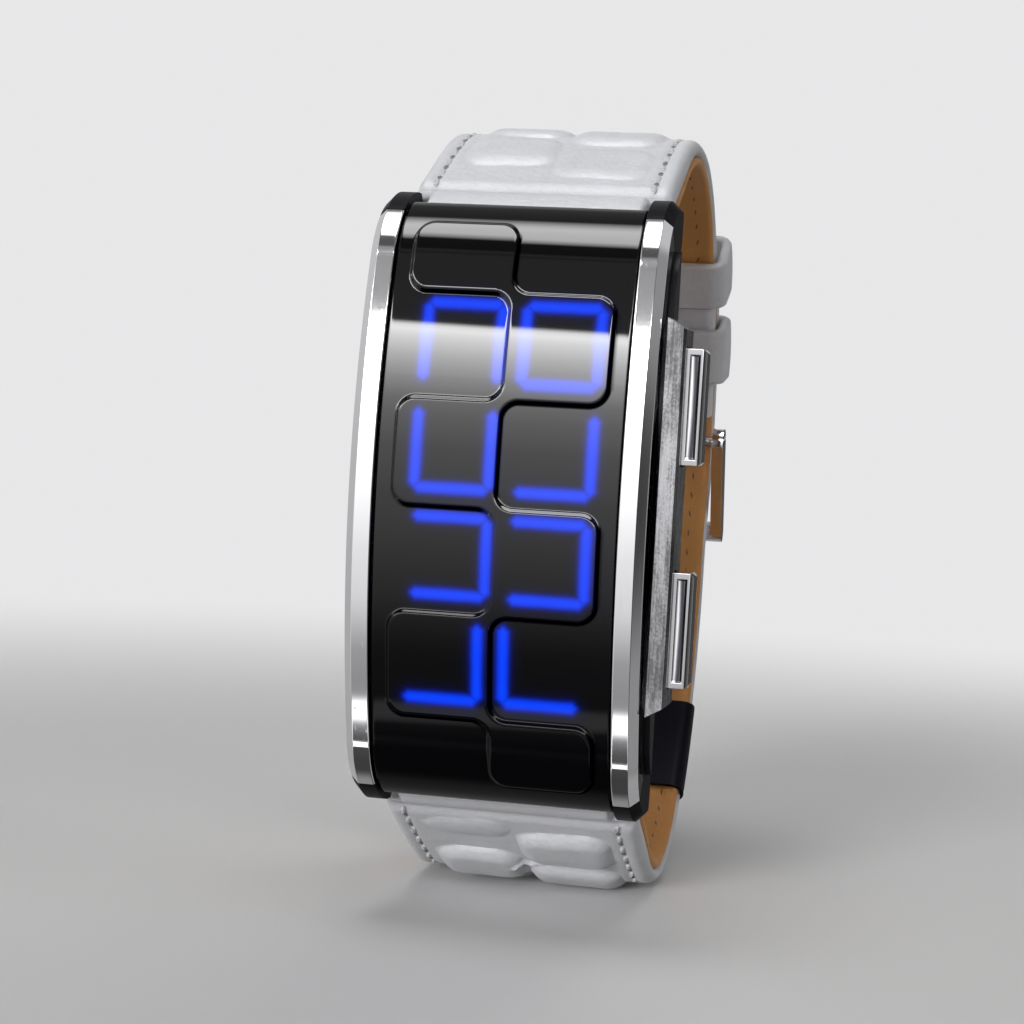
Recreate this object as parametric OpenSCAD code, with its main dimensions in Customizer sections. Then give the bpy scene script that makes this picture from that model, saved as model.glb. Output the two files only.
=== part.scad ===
// Upright wrist watch: a tall curved case with an LED display under a tiled
// dark crystal, two side pushers and a padded two-piece strap with a pin buckle.
// +X is the pusher side, +Z the upper end, and the display faces -Y.
// The origin is the middle of the case back's outer face.

/* [Case] */
// Height of the case from end to end
face_h = 56; // [55:0.2:58]
// Width over the two rails
case_w = 26.5; // [26.3:0.1:28]
// Thickness from the front of the rails to the outside of the case back
case_t = 10.6; // [10.5:0.1:11.5]
// Radius of the long front curve
front_r = 71; // [68:1:90]
// Radius where the front turns back at each end
end_r = 8.8; // [8.4:0.1:9.2]
// How far the case back stands out of the case
back_proud = 0.4; // [0.2:0.1:0.6]
// Thickness of the case back plate
back_t = 1.2; // [1:0.1:1.3]
// Width of the opening that holds the movement
pocket_w = 18; // [17.6:0.1:18.2]
// Wall between that opening and each end of the case
end_wall = 8.7; // [8.6:0.1:8.9]

/* [Rails] */
// Width of each metal rail
rail_w = 2.36; // [2.2:0.02:2.5]
// Depth of each rail behind the front curve
rail_d = 3; // [2.8:0.1:3.1]
// Width of the polished bevel on a rail's outer edge
rail_bevel = 0.8; // [0.4:0.1:1]
// Angle round the end radius at which the rails give way to the lugs
rail_end_a = 50; // [47:1:53]
// Radius of the pins that hold the rails
rail_pin_r = 0.4; // [0.3:0.05:0.4]

/* [Lugs] */
// Depth of the lugs' rear faces behind the case back's outer face
lug_back = 2.4; // [2.2:0.1:2.7]
// Distance of the strap bars from the ends of the case
bar_in = 2.3; // [2.2:0.1:2.6]
// Depth of the strap bars behind the case back's outer face
bar_y = 0.7; // [0.6:0.1:1]
// Radius of a strap bar
bar_r = 0.75; // [0.6:0.05:0.8]
// Radius of the thinner ends of a strap bar
bar_end_r = 0.5; // [0.4:0.05:0.55]
// Depth of the holes in the lugs
lug_hole = 1.3; // [1:0.1:1.5]

/* [Crystal and display] */
// Thickness of the crystal
lens_t = 1.6; // [1.4:0.1:1.7]
// Height of the raised tiles on the crystal
tile_rise = 0.35; // [0.2:0.05:0.5]
// Corner radius of a tile
tile_corner = 1.6; // [1.2:0.1:2]
// Plain strip beside the tiles that stop short of a rail
tile_margin = 1.6; // [1:0.1:2]
// Distance of the end tiles from the ends of the case
tile_end = 3; // [2.6:0.1:3.4]
// Angle round the end radius at which the crystal ends
lens_end_a = 57; // [55:1:59]
// Width of a digit over its outer segments
digit_w = 7.7; // [7:0.1:7.8]
// Width of a light segment
segment_w = 1.1; // [0.9:0.05:1.2]
// Hour shown
hour = 9; // [0:1:23]
// Minute shown
minute = 32; // [0:1:59]

/* [Pushers and guard] */
// Distance from the middle of the case to each pusher
pusher_z = 9.7; // [9:0.1:10]
// Depth of the pushers' centre line in front of the case back
pusher_y = -5.3; // [-5.4:0.05:-5.2]
// Length of a pusher
pusher_l = 10.1; // [9:0.1:10.4]
// Thickness of a pusher, front to back
pusher_t = 3; // [2.6:0.1:3.2]
// How far a pusher stands out of the guard
pusher_proud = 1.75; // [1.4:0.05:2]
// Travel of a pusher
pusher_travel = 0.8; // [0.6:0.05:0.8]
// Radius of a pusher's stem
stem_r = 0.75; // [0.65:0.05:0.8]
// Length of the guard between its end points
guard_l = 34.6; // [33:0.1:36]
// Thickness of the guard, front to back
guard_t = 5.2; // [4.8:0.1:5.4]
// How far the guard stands out beside the rail
guard_out = 2.2; // [2.1:0.05:2.4]
// Length of the rib that the guard is fixed to
boss_l = 47.6; // [45:0.2:48]
// Thickness of that rib
boss_t = 0.55; // [0.5:0.05:0.6]

/* [Strap] */
// Width of the strap
strap_w = 24; // [23:0.2:24]
// Width of the strap ends between the lugs
neck_w = 20.6; // [19.6:0.1:21]
// Thickness of the padded part
pad_t = 3.8; // [3.4:0.1:4]
// Thickness of the thin part
thin_t = 2.2; // [2:0.1:2.4]
// Thickness of the lining
lining_t = 0.9; // [0.8:0.05:1]
// Radius of the folded end round a strap bar
fold_r = 1.75; // [1.6:0.05:1.8]
// Straight length of the upper strap before it bends
upper_run = 15; // [14:0.1:16]
// Angle at which the upper strap leaves the case
upper_rise = 27.5; // [25:0.5:29]
// Bend radius of the upper strap's shoulder
upper_r = 19.5; // [18:0.5:21]
// Angle through which that shoulder turns
upper_turn = 87.4; // [85:0.2:89]
// Straight length of the lower strap before it bends
lower_run = 17.5; // [16.5:0.1:18]
// Angle at which the lower strap leaves the case
lower_drop = 31; // [30:0.5:33]
// Bend radius of the lower strap's shoulder
lower_r = 15.5; // [15:0.5:16.5]
// Angle through which that shoulder turns
lower_turn = 75; // [74:0.5:77]
// Bend radius of the strap behind the wrist
back_r = 34.5; // [33:0.5:36]
// Length of leather turned back inside the upper strap from its buckle
flap_l = 15; // [12:0.5:17]
// Width of the upper strap's end round the buckle bar
buckle_neck_w = 18; // [16:0.5:20]
// Height of the embossed tiles on the strap
emboss = 0.45; // [0.3:0.05:0.6]
// Length of an embossed tile along the strap
emboss_l = 8; // [7:0.1:8.4]
// Number of spare holes in the strap's tail
spare_holes = 3; // [0:1:4]
// Spacing of the holes in the strap's tail
hole_pitch = 5.5; // [5:0.1:6.5]
// Radius of the spare holes
hole_r = 0.9; // [0.7:0.05:1]

/* [Keepers and sleeve] */
// Thickness of the keepers' leather
keeper_t = 1; // [0.8:0.1:1.2]
// Width of the fixed keeper along the strap
fixed_keeper_l = 6.2; // [5.4:0.1:6.4]
// Width of the loose keeper along the strap
loose_keeper_l = 5.4; // [4.6:0.1:5.6]
// Angle round the back bend from the buckle bar to the fixed keeper
fixed_keeper_a = 13.5; // [13:0.5:14]
// Angle round the back bend from the buckle bar to the loose keeper
loose_keeper_a = 27.5; // [27:0.5:28]
// Length of the plain sleeve on the lower strap
sleeve_l = 9.6; // [8:0.1:10.5]
// Thickness of the sleeve's wall
sleeve_t = 0.7; // [0.5:0.05:0.9]

/* [Buckle] */
// Length of the buckle from its bar to its front bar
buckle_l = 9.4; // [9:0.1:9.8]
// Radius of the front bar
front_bar_r = 1.1; // [0.9:0.05:1.2]
// Thickness of the buckle's side arms
arm_t = 1.2; // [1:0.1:1.4]
// Radius of the bar that the buckle turns on
buckle_bar_r = 0.6; // [0.5:0.05:0.65]
// Width of the tongue
tongue_w = 1.9; // [1.6:0.1:2]
// Thickness of the tongue
tongue_t = 1; // [0.8:0.05:1]

/* [Hidden] */

// Clearances
seat_gap = 0.05;
seal_gap = 0.02;
run_gap = 0.05;
slot_gap = 0.15;
soft_gap = 0.3;

// Places that follow from the case. The end arcs cross the long curve and the
// flat ends at a small angle, for which each reaches past the other by lap.
lap = 0.03;
rail_x = case_w / 2;
rail_in = rail_x - rail_w;
lens_x = rail_in - 2 * seat_gap;
back_y = -back_proud;
end_z = face_h / 2;
pocket_h = face_h - 2 * end_wall;
bar_z = end_z - bar_in;
front_cy = front_r - case_t;
end_cz = end_z - end_r;
end_d = front_r - end_r + lap;
turn_a = asin(end_cz / end_d);
end_y = front_cy - end_d * cos(turn_a);
round_fn = 96;
curve_fn = 240;

// Draws a side view, written as y and z, and pulls it out from x0 to x1
module across(x0, x1) {
    translate([x0, 0, 0]) rotate([90, 0, 90]) linear_extrude(x1 - x0) children();
}

// Draws a front view, written as x and z, and pulls it out from y0 to y1
module forward(y0, y1) {
    translate([0, y1, 0]) rotate([90, 0, 0]) linear_extrude(y1 - y0) children();
}

// Side view of a wedge from the end radius's centre, between two angles
// measured up from the front
module end_wedge(from_a, to_a) {
    reach = 3 * end_r;
    polygon(concat([[end_y, end_cz]], [for (a = [from_a, (from_a + to_a) / 2, to_a])
        [end_y - reach * cos(a), end_cz + reach * sin(a)]]));
}

// Side view of everything more than inset behind the front, up to y_to. The
// front is one long curve with a smaller arc at each end.
module front_form(inset, y_to) {
    half_z = end_z - inset - lap;
    difference() {
        intersection() {
            translate([front_cy, 0]) circle(r = front_r - inset, $fn = curve_fn);
            translate([-case_t - 1, -half_z]) square([case_t + 1 + y_to, 2 * half_z]);
        }
        for (s = [0, 1]) mirror([0, s]) difference() {
            end_wedge(turn_a, 90);
            translate([end_y, end_cz]) circle(r = end_r - inset, $fn = curve_fn);
        }
    }
}

// Side view of a layer between two depths behind the front curve
module layer(from, to, half_z) {
    intersection() {
        difference() {
            translate([front_cy, 0]) circle(r = front_r - from, $fn = curve_fn);
            translate([front_cy, 0]) circle(r = front_r - to, $fn = curve_fn);
        }
        translate([-case_t, -half_z]) square([case_t, 2 * half_z]);
    }
}

// A rectangle with rounded corners, given by its half sizes
module round_rect(half_x, half_z, r) {
    for (sx = [-1, 1], sz = [-1, 1])
        translate([sx * (half_x - r), sz * (half_z - r)]) circle(r = r, $fn = 48);
    square([2 * half_x, 2 * (half_z - r)], center = true);
    square([2 * (half_x - r), 2 * half_z], center = true);
}

// A rod along X from x0 to x1
module rod(r, x0, x1, y, z, fn = 48) {
    translate([x0, y, z]) rotate([0, 90, 0]) cylinder(r = r, h = x1 - x0, $fn = fn);
}

// Outer form that a rail shares with the lugs at its ends: the case's front,
// with a bevel along its outer edge
module rail_form(y_to) {
    top = end_z - lap;
    difference() {
        intersection() {
            translate([0, front_cy, 0]) bevelled_disc(front_r, 0);
            forward(-case_t - 1, y_to)
                polygon([[rail_in, -top], [rail_x - rail_bevel, -top], [rail_x, rail_bevel - top],
                    [rail_x, top - rail_bevel], [rail_x - rail_bevel, top], [rail_in, top]]);
        }
        for (s = [0, 1]) mirror([0, 0, s]) difference() {
            across(rail_in - 1, rail_x + 1) end_wedge(turn_a, 90);
            translate([0, end_y, end_cz]) bevelled_disc(end_r, rail_bevel);
        }
    }
}

// A disc about X whose edge is bevelled at the rail's side, and goes on past it
module bevelled_disc(r, past) {
    rotate([90, 0, 90]) rotate_extrude($fn = curve_fn)
        polygon([[0, 0], [r, 0], [r, rail_x - rail_bevel], [r - rail_bevel - past, rail_x + past],
            [0, rail_x + past]]);
}

// A lug: it carries a rail's form on round the end, and slopes back to the case
lug_chamfer = 1;
lug_slope = 3.4;
lug_root = 0.4;
module lug() {
    intersection() {
        rail_form(lug_back);
        across(rail_in - 1, rail_x + 1) difference() {
            polygon([[-case_t, end_cz], [back_y, end_cz], [lug_back, end_z - lug_slope],
                [lug_back, end_z - lug_chamfer], [lug_back - lug_chamfer, end_z],
                [-case_t, end_z]]);
            difference() {
                end_wedge(-10, rail_end_a + seat_a);
                translate([end_y, end_cz]) circle(r = end_r - rail_d - lug_root, $fn = curve_fn);
            }
        }
    }
}

// Case
seal_t = 0.15;
tub_inset = lens_t + seal_t;
wall = 0.3;
screw_r = 0.6;
screw_head_r = 0.95;
screw_head_l = 0.5;
screw_l = 3;
slot_w = 0.26;
slot_d = 0.25;
gasket_w = 0.7;
gasket_t = 0.5;
gasket_in = 0.2;
plate_x = rail_in - 0.5;
screw_x = plate_x - screw_head_r - 1.5 * wall;
screw_z = pocket_h / 2 + gasket_in + gasket_w + wall + screw_r;
plate_z = screw_z + screw_head_r + wall;
plate_corner = 2;
fold_gap = 0.3;
end_cut = 0.6;
seat_a = seat_gap / end_r * 180 / PI;
pin_z = 16;
pin_in = 0.9;
pin_root = pocket_w / 2 + 2 * wall;
pin_inset = (tub_inset + rail_d) / 2;
pin_y = front_cy - sqrt(pow(front_r - pin_inset, 2) - pin_z * pin_z);

module case_middle() {
    color([0.05, 0.05, 0.055]) difference() {
        union() {
            across(-lens_x - seat_gap, lens_x + seat_gap) front_form(tub_inset, back_y);
            for (s = [-1, 1]) {
                x = s > 0 ? lens_x - 1 : -rail_x;
                across(x, x + rail_x - lens_x + 1) front_form(rail_d + seat_gap, back_y);
            }
            for (sx = [0, 1], sz = [0, 1]) mirror([sx, 0, 0]) mirror([0, 0, sz]) lug();
        }
        // room for the strap's folded ends
        for (s = [-1, 1]) {
            rod(fold_r + fold_gap, -rail_in, rail_in, bar_y, s * bar_z, round_fn);
            translate([-rail_in, -case_t / 2, s > 0 ? bar_z - end_cut : -end_z])
                cube([2 * rail_in, case_t, bar_in + end_cut]);
        }
        // opening for the movement, the case back's seat and its gasket groove
        forward(-case_t, 1) square([pocket_w, pocket_h], center = true);
        forward(-back_t, 1)
            round_rect(plate_x + seat_gap, plate_z + seat_gap, plate_corner + seat_gap);
        forward(-back_t - gasket_t, 0) difference() {
            square([pocket_w + 2 * (gasket_in + gasket_w), pocket_h + 2 * (gasket_in + gasket_w)],
                center = true);
            square([pocket_w + 2 * gasket_in, pocket_h + 2 * gasket_in], center = true);
        }
        for (sx = [-1, 1], sz = [-1, 1]) translate([sx * screw_x, 1, sz * screw_z])
            rotate([90, 0, 0]) cylinder(r = screw_r + seal_gap, h = screw_l + 1 + seat_gap, $fn = 32);
        // holes for the strap bars, the rail pins, the pusher stems and the guard screws
        for (s = [-1, 1])
            rod(bar_end_r + seal_gap, -rail_in - lug_hole, rail_in + lug_hole, bar_y, s * bar_z);
        rail_pin_rods(rail_pin_r + seal_gap, pin_root - seat_gap, rail_in);
        for (s = [-1, 1]) {
            rod(stem_r + run_gap, 0, rail_x + 1, pusher_y, s * pusher_z);
            rod(seal_or, seal_x - seal_r - seal_gap, seal_x + seal_r + seal_gap,
                pusher_y, s * pusher_z);
            rod(screw_r + seal_gap, 0, rail_x + 1, pusher_y, s * guard_screw_z, 32);
        }
    }
}

// Rails: the metal strips that run up the whole front beside the crystal
module rail(s) {
    color([0.78, 0.78, 0.8]) mirror([s > 0 ? 0 : 1, 0, 0]) difference() {
        rail_form(end_y);
        across(rail_in - 1, rail_x + 1) front_form(rail_d, end_y + 1);
        for (sz = [0, 1]) mirror([0, 0, sz])
            across(rail_in - 1, rail_x + 1) end_wedge(rail_end_a, 180);
        rail_pin_rods(rail_pin_r + seal_gap, pin_root, rail_in + pin_in + seat_gap);
    }
}

// The rods of the rail pins, and of the holes that take them
module rail_pin_rods(r, from, to) {
    for (sx = [0, 1], sz = [-1, 1]) mirror([sx, 0, 0]) rod(r, from, to, pin_y, sz * pin_z, 32);
}

module rail_pins() {
    color([0.7, 0.7, 0.72]) rail_pin_rods(rail_pin_r, pin_root, rail_in + pin_in);
}

// Crystal: a curved plate with a zigzag chain of raised tiles. Each row has a
// raised tile on one side of the middle, and tiles that meet at a corner are
// joined there by a narrow neck.
tile_rows = 6;
tile_pitch = pocket_h / 4 - 0.25;
tile_root = 0.2;
neck_past = 0.3;
function row_z(row) = (row - tile_rows / 2) * tile_pitch;
function raised_side(row) = row % 2 == 0 ? 1 : -1;

// Front view of one half of a row, out to x = outer
module tile_cell(row, side, outer) {
    z0 = row == 0 ? tile_end - end_z : row_z(row);
    z1 = row == tile_rows - 1 ? end_z - tile_end : row_z(row + 1);
    translate([side * outer / 2, (z0 + z1) / 2]) round_rect(outer / 2, (z1 - z0) / 2, tile_corner);
}

module raised_tiles() {
    for (row = [0:tile_rows - 1]) tile_cell(row, raised_side(row), lens_x - tile_margin);
    difference() {
        for (row = [1:tile_rows - 1]) translate([0, row_z(row)])
            square(2 * (tile_corner + neck_past), center = true);
        for (row = [0:tile_rows - 1]) tile_cell(row, -raised_side(row), rail_x);
    }
}

// Side view of a layer of the crystal between two depths behind the front
module lens_layer(from, to) {
    difference() {
        front_form(from, end_y);
        front_form(to, end_y + 1);
        for (s = [0, 1]) mirror([0, s]) end_wedge(lens_end_a, 180);
    }
}

module crystal() {
    color([0.04, 0.04, 0.05]) {
        across(-lens_x, lens_x) lens_layer(tile_rise, lens_t);
        intersection() {
            across(-lens_x, lens_x) lens_layer(0, tile_rise + tile_root);
            forward(-case_t - 1, 0) raised_tiles();
        }
    }
}

module crystal_seal() {
    color([0.03, 0.03, 0.03]) difference() {
        across(-lens_x, lens_x) lens_layer(lens_t + seal_gap, tub_inset - seal_gap);
        forward(-case_t, 0) square([pocket_w, pocket_h + 1], center = true);
    }
}

// Display: four digits of seven light segments, the upper pair for the hour
stack_x = pocket_w / 2 - wall;
stack_z = pocket_h / 2 - seat_gap;
mask_from = lens_t + 0.1;
mask_t = 1.1;
mask_to = mask_from + mask_t;
bar_depth = 0.8;
chip_gap = 0.05;
board_t = 0.4;
board_from = mask_to + seat_gap;
board_to = board_from + board_t;
frame_from = board_to + 0.1;
window_gap = 0.06;
digit_side = 0.57;
digit_end = 1.35;
digit_gap = 1.4;
mid_up = 1.25;
tip_gap = 0.3;
digit_x = digit_w / 2 + digit_side;
digit_half = (stack_z - digit_end - digit_gap / 2) / 2;
digit_z = digit_gap / 2 + digit_half;
// Segments in the order top, upper right, lower right, bottom, lower left, upper left, middle
PATTERNS = ["1111110", "0110000", "1101101", "1111001", "0110011", "1011011", "1011111",
    "1110000", "1111111", "1111011"];
digits = [floor(hour / 10), hour % 10, floor(minute / 10), minute % 10];

// Where a segment's middle is in its digit. The middle bar sits above the
// digit's own middle, and the lower uprights are as long as the upper ones.
bar_top = digit_half - segment_w / 2;
upright_l = bar_top - mid_up;
function is_flat(k) = k == 0 || k == 3 || k == 6;
function segment_x(k) = is_flat(k) ? 0 : (k < 3 ? 1 : -1) * (digit_w - segment_w) / 2;
function segment_z(k) = k == 6 ? mid_up : k == 0 ? bar_top : k == 3 ? -bar_top
    : (k == 1 || k == 5 ? 1 : -1) * (bar_top + mid_up) / 2;
function segment_l(k) = (is_flat(k) ? digit_w - segment_w : upright_l) - tip_gap;

// Front view of one segment: a bar with pointed ends, grown by extra on each side
module segment(k, extra) {
    half = segment_w / 2;
    h = half + extra;
    e = segment_l(k) / 2 + extra;
    rotate(is_flat(k) ? 0 : 90)
        polygon([[-e, 0], [half - e, -h], [e - half, -h], [e, 0], [e - half, h], [half - e, h]]);
}

// Puts what is drawn for a segment at its place in one of the four digits
module at_segment(d, k) {
    translate([(d % 2 == 0 ? -1 : 1) * digit_x + segment_x(k),
        (d < 2 ? digit_z : -digit_z) + segment_z(k)]) children();
}

// Front view of the segments that are lit or dark, or of all with wanted undefined
module segments(wanted, extra = 0) {
    for (d = [0:3], k = [0:6])
        if (is_undef(wanted) || PATTERNS[digits[d]][k] == wanted)
            at_segment(d, k) segment(k, extra);
}

module light_bars(wanted) {
    intersection() {
        across(-stack_x, stack_x) layer(mask_from, mask_from + bar_depth, stack_z);
        forward(-case_t, 0) segments(wanted);
    }
}

module segments_lit() { color([0.05, 0.25, 1]) light_bars("1"); }

module segments_dark() { color([0.12, 0.12, 0.16]) light_bars("0"); }

module light_mask() {
    color([0.03, 0.03, 0.035]) difference() {
        across(-stack_x, stack_x) layer(mask_from, mask_to, stack_z);
        forward(-case_t - 1, 0) segments(undef, window_gap);
    }
}

module led_chips() {
    chip = segment_w - 0.2;
    chip_from = mask_from + bar_depth + chip_gap;
    color([0.9, 0.85, 0.5]) intersection() {
        across(-stack_x, stack_x) layer(chip_from, board_from - seal_gap, stack_z);
        forward(-case_t - 1, 0) for (d = [0:3], k = [0:6]) at_segment(d, k)
            square(is_flat(k) ? [2 * chip, chip] : [chip, 2 * chip], center = true);
    }
}

module display_board() {
    color([0.05, 0.25, 0.12]) across(-stack_x, stack_x) layer(board_from, board_to, stack_z);
}

// Movement: a moulded frame with two coin cells let into its back
cell_t = 2;
cell_between = 0.6;
cell_end = 2.65;
cell_side = 0.7;
cell_r = min(stack_x - cell_side, (stack_z - cell_between - cell_end) / 2);
cell_z = cell_between + cell_r;
cell_rim = 0.3;
contact_t = 0.2;
contact_w = 3.2;
contact_r = 2.6;
frame_back = -1.9;
clip_r = 1.15;
clip_t = 0.4;
clip_room = 0.2;
clip_mouth = 0.6;
clip_x = pocket_w / 2 - seat_gap - clip_t;

module module_frame() {
    color([0.12, 0.12, 0.13]) difference() {
        across(-stack_x, stack_x) intersection() {
            translate([front_cy, 0]) circle(r = front_r - frame_from, $fn = curve_fn);
            translate([-case_t, -stack_z]) square([case_t + frame_back, 2 * stack_z]);
        }
        for (s = [-1, 1]) {
            translate([0, 0, s * cell_z]) rotate([90, 0, 0])
                cylinder(r = cell_r + seat_gap, h = cell_t - frame_back + seat_gap, $fn = round_fn);
            // room for the pushers' clips and for their travel
            translate([clip_x - pusher_travel - 2 * clip_room, pusher_y - clip_r - clip_room,
                s * pusher_z - clip_r - clip_room])
                cube([stack_x, 2 * (clip_r + clip_room), 2 * (clip_r + clip_room)]);
            translate([clip_x - 1, pusher_y - screw_head_r - clip_room,
                s * guard_screw_z - screw_head_r - clip_room])
                cube([stack_x, 2 * (screw_head_r + clip_room), 2 * (screw_head_r + clip_room)]);
        }
    }
}

module coin_cell(s) {
    color([0.75, 0.75, 0.76]) translate([0, frame_back, s * cell_z]) rotate([90, 0, 0]) {
        cylinder(r = cell_r - 2 * cell_rim, h = cell_t, $fn = round_fn);
        cylinder(r = cell_r, h = cell_t - cell_rim, $fn = round_fn);
    }
}

module battery_upper() { coin_cell(1); }

module battery_lower() { coin_cell(-1); }

module battery_contact() {
    color([0.75, 0.6, 0.3]) forward(frame_back + seal_gap, frame_back + seal_gap + contact_t) {
        square([contact_w, 2 * cell_z], center = true);
        for (s = [-1, 1]) translate([0, s * cell_z]) circle(r = contact_r, $fn = 48);
    }
}

module case_back() {
    color([0.62, 0.62, 0.64]) difference() {
        forward(-back_t, 0) round_rect(plate_x, plate_z, plate_corner);
        for (sx = [-1, 1], sz = [-1, 1]) translate([sx * screw_x, 0, sz * screw_z])
            rotate([90, 0, 0]) {
                cylinder(r = screw_r + seat_gap, h = back_t + 1, $fn = 32);
                translate([0, 0, -1])
                    cylinder(r = screw_head_r + seat_gap, h = 1 + screw_head_l + 0.1, $fn = 32);
            }
    }
}

module back_gasket() {
    inner_x = pocket_w / 2 + gasket_in + seal_gap;
    inner_z = pocket_h / 2 + gasket_in + seal_gap;
    w = gasket_w - 2 * seal_gap;
    color([0.08, 0.08, 0.08]) forward(-back_t - gasket_t + seal_gap, -back_t) difference() {
        square([2 * (inner_x + w), 2 * (inner_z + w)], center = true);
        square([2 * inner_x, 2 * inner_z], center = true);
    }
}

module back_screws() {
    color([0.7, 0.7, 0.7]) for (sx = [-1, 1], sz = [-1, 1])
        translate([sx * screw_x, -0.1, sz * screw_z]) rotate([90, 0, 0]) difference() {
            union() {
                cylinder(r = screw_head_r, h = screw_head_l, $fn = 32);
                cylinder(r = screw_r, h = screw_l - 0.1, $fn = 32);
            }
            translate([-screw_head_r, -slot_w / 2, -1])
                cube([2 * screw_head_r, slot_w, 1 + slot_d]);
        }
}

// Side boss, guard and pushers
boss_front = 1.4;
boss_behind = 1.3;
boss_inset = case_t + pusher_y - boss_front;
boss_back = pusher_y + guard_t / 2 + boss_behind;
guard_front = pusher_y - guard_t / 2;
guard_back = pusher_y + guard_t / 2;
guard_x = rail_x + guard_out;
guard_slope = 0.95;
guard_crest = 0.5;
guard_bevel = 0.8;
guard_edge = 0.25;
guard_screw_z = 1.9;
seal_x = rail_x - 1.3;
seal_r = 0.3;
seal_or = stem_r + run_gap + 2 * seal_r + 0.04;

module side_boss() {
    color([0.16, 0.16, 0.17]) difference() {
        across(rail_x, rail_x + boss_t) intersection() {
            front_form(boss_inset, boss_back);
            translate([-case_t, -boss_l / 2]) square([2 * case_t, boss_l]);
        }
        for (s = [-1, 1]) {
            rod(stem_r + run_gap, rail_x - 1, guard_x, pusher_y, s * pusher_z);
            rod(screw_r + seal_gap, rail_x - 1, guard_x, pusher_y, s * guard_screw_z, 32);
        }
    }
}

module button_guard() {
    lip = rail_x + seat_gap;
    crest = lip + guard_crest;
    lip_y = guard_front + guard_bevel;
    half = guard_l / 2;
    seat_y = -case_t + boss_inset - seat_gap;
    color([0.6, 0.6, 0.62]) difference() {
        intersection() {
            linear_extrude(guard_l, center = true)
                polygon([[lip, seat_y], [lip, lip_y], [crest, guard_front],
                    [guard_x - guard_edge, guard_front], [guard_x, guard_front + guard_edge],
                    [guard_x, guard_back - guard_edge], [guard_x - guard_edge, guard_back],
                    [rail_x + boss_t, guard_back],
                    [rail_x + boss_t, seat_y]]);
            forward(-case_t, 0)
                polygon([[lip, guard_slope - half], [crest, -half], [guard_x, guard_slope - half],
                    [guard_x, half - guard_slope], [crest, half], [lip, half - guard_slope]]);
        }
        for (s = [-1, 1]) translate([rail_x, pusher_y, s * pusher_z]) {
            translate([0, -pusher_t / 2 - slot_gap, -pusher_l / 2 - slot_gap])
                cube([guard_out + 1, pusher_t + 2 * slot_gap, pusher_l + 2 * slot_gap]);
        }
        for (s = [-1, 1])
            rod(screw_r + seal_gap, 0, guard_x - 0.5, pusher_y, s * guard_screw_z, 32);
    }
}

module guard_screws() {
    head_x = pocket_w / 2 - 0.5 - seal_gap;
    color([0.7, 0.7, 0.7]) for (s = [-1, 1]) {
        rod(screw_r, head_x, guard_x - 0.6, pusher_y, s * guard_screw_z, 32);
        rod(screw_head_r, head_x, pocket_w / 2 - seal_gap, pusher_y, s * guard_screw_z, 32);
    }
}

// A pusher: a block with bevelled edges and a sunk front, on a round stem
module pusher(s) {
    bevel = 0.3;
    frame = 0.55;
    sunk = 0.2;
    cap_in = guard_x - cap_sunk;
    cap_out = guard_x + pusher_proud;
    half_t = pusher_t / 2;
    half_l = pusher_l / 2;
    color([0.72, 0.72, 0.74]) translate([0, pusher_y, s * pusher_z]) difference() {
        union() {
            intersection() {
                translate([cap_in, -half_t, -half_l])
                    cube([cap_out - cap_in, pusher_t, pusher_l]);
                linear_extrude(2 * pusher_l, center = true)
                    polygon([[cap_in, -half_t], [cap_out - bevel, -half_t], [cap_out, bevel - half_t],
                        [cap_out, half_t - bevel], [cap_out - bevel, half_t], [cap_in, half_t]]);
                forward(-pusher_t, pusher_t)
                    polygon([[cap_in, -half_l], [cap_out - bevel, -half_l], [cap_out, bevel - half_l],
                        [cap_out, half_l - bevel], [cap_out - bevel, half_l], [cap_in, half_l]]);
            }
            rod(stem_r, clip_x - 0.3, cap_in + 0.3, 0, 0);
        }
        translate([guard_x + face_from, -half_t - 1, frame - half_l])
            cube([pusher_proud - face_from - frame, 1 + sunk, pusher_l - 2 * frame]);
        // groove for the clip
        difference() {
            rod(stem_r + 1, clip_x, clip_x + clip_t, 0, 0);
            rod(clip_in, clip_x - 1, clip_x + clip_t + 1, 0, 0);
        }
    }
}
cap_sunk = 0.75;
face_from = 0.35;
clip_in = stem_r - 0.25;

module pusher_upper() { pusher(1); }

module pusher_lower() { pusher(-1); }

// An open clip that keeps a pusher's stem in the case
module pusher_clip(s) {
    color([0.5, 0.5, 0.52]) translate([clip_x + seal_gap, pusher_y, s * pusher_z])
        rotate([0, 90, 0]) difference() {
            cylinder(r = clip_r, h = clip_t - 2 * seal_gap, $fn = 48);
            translate([0, 0, -1]) cylinder(r = clip_in + seal_gap, h = 2, $fn = 48);
            translate([0, -clip_mouth / 2, -1]) cube([2 * clip_r, clip_mouth, 2]);
        }
}

module pusher_clip_upper() { pusher_clip(1); }

module pusher_clip_lower() { pusher_clip(-1); }

module pusher_seals() {
    color([0.05, 0.05, 0.05]) for (s = [-1, 1]) translate([seal_x, pusher_y, s * pusher_z])
        rotate([0, 90, 0]) rotate_extrude($fn = 48)
            translate([stem_r + run_gap + seal_r, 0]) circle(r = seal_r, $fn = 24);
}

// Strap bars between the lugs
module strap_bar(s) {
    shoulder = rail_in - 0.3;
    tip = rail_in + lug_hole - 0.1;
    color([0.7, 0.7, 0.72]) {
        rod(bar_r, -shoulder, shoulder, bar_y, s * bar_z);
        rod(bar_end_r, -tip, tip, bar_y, s * bar_z);
    }
}

module strap_bar_upper() { strap_bar(1); }

module strap_bar_lower() { strap_bar(-1); }

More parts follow.
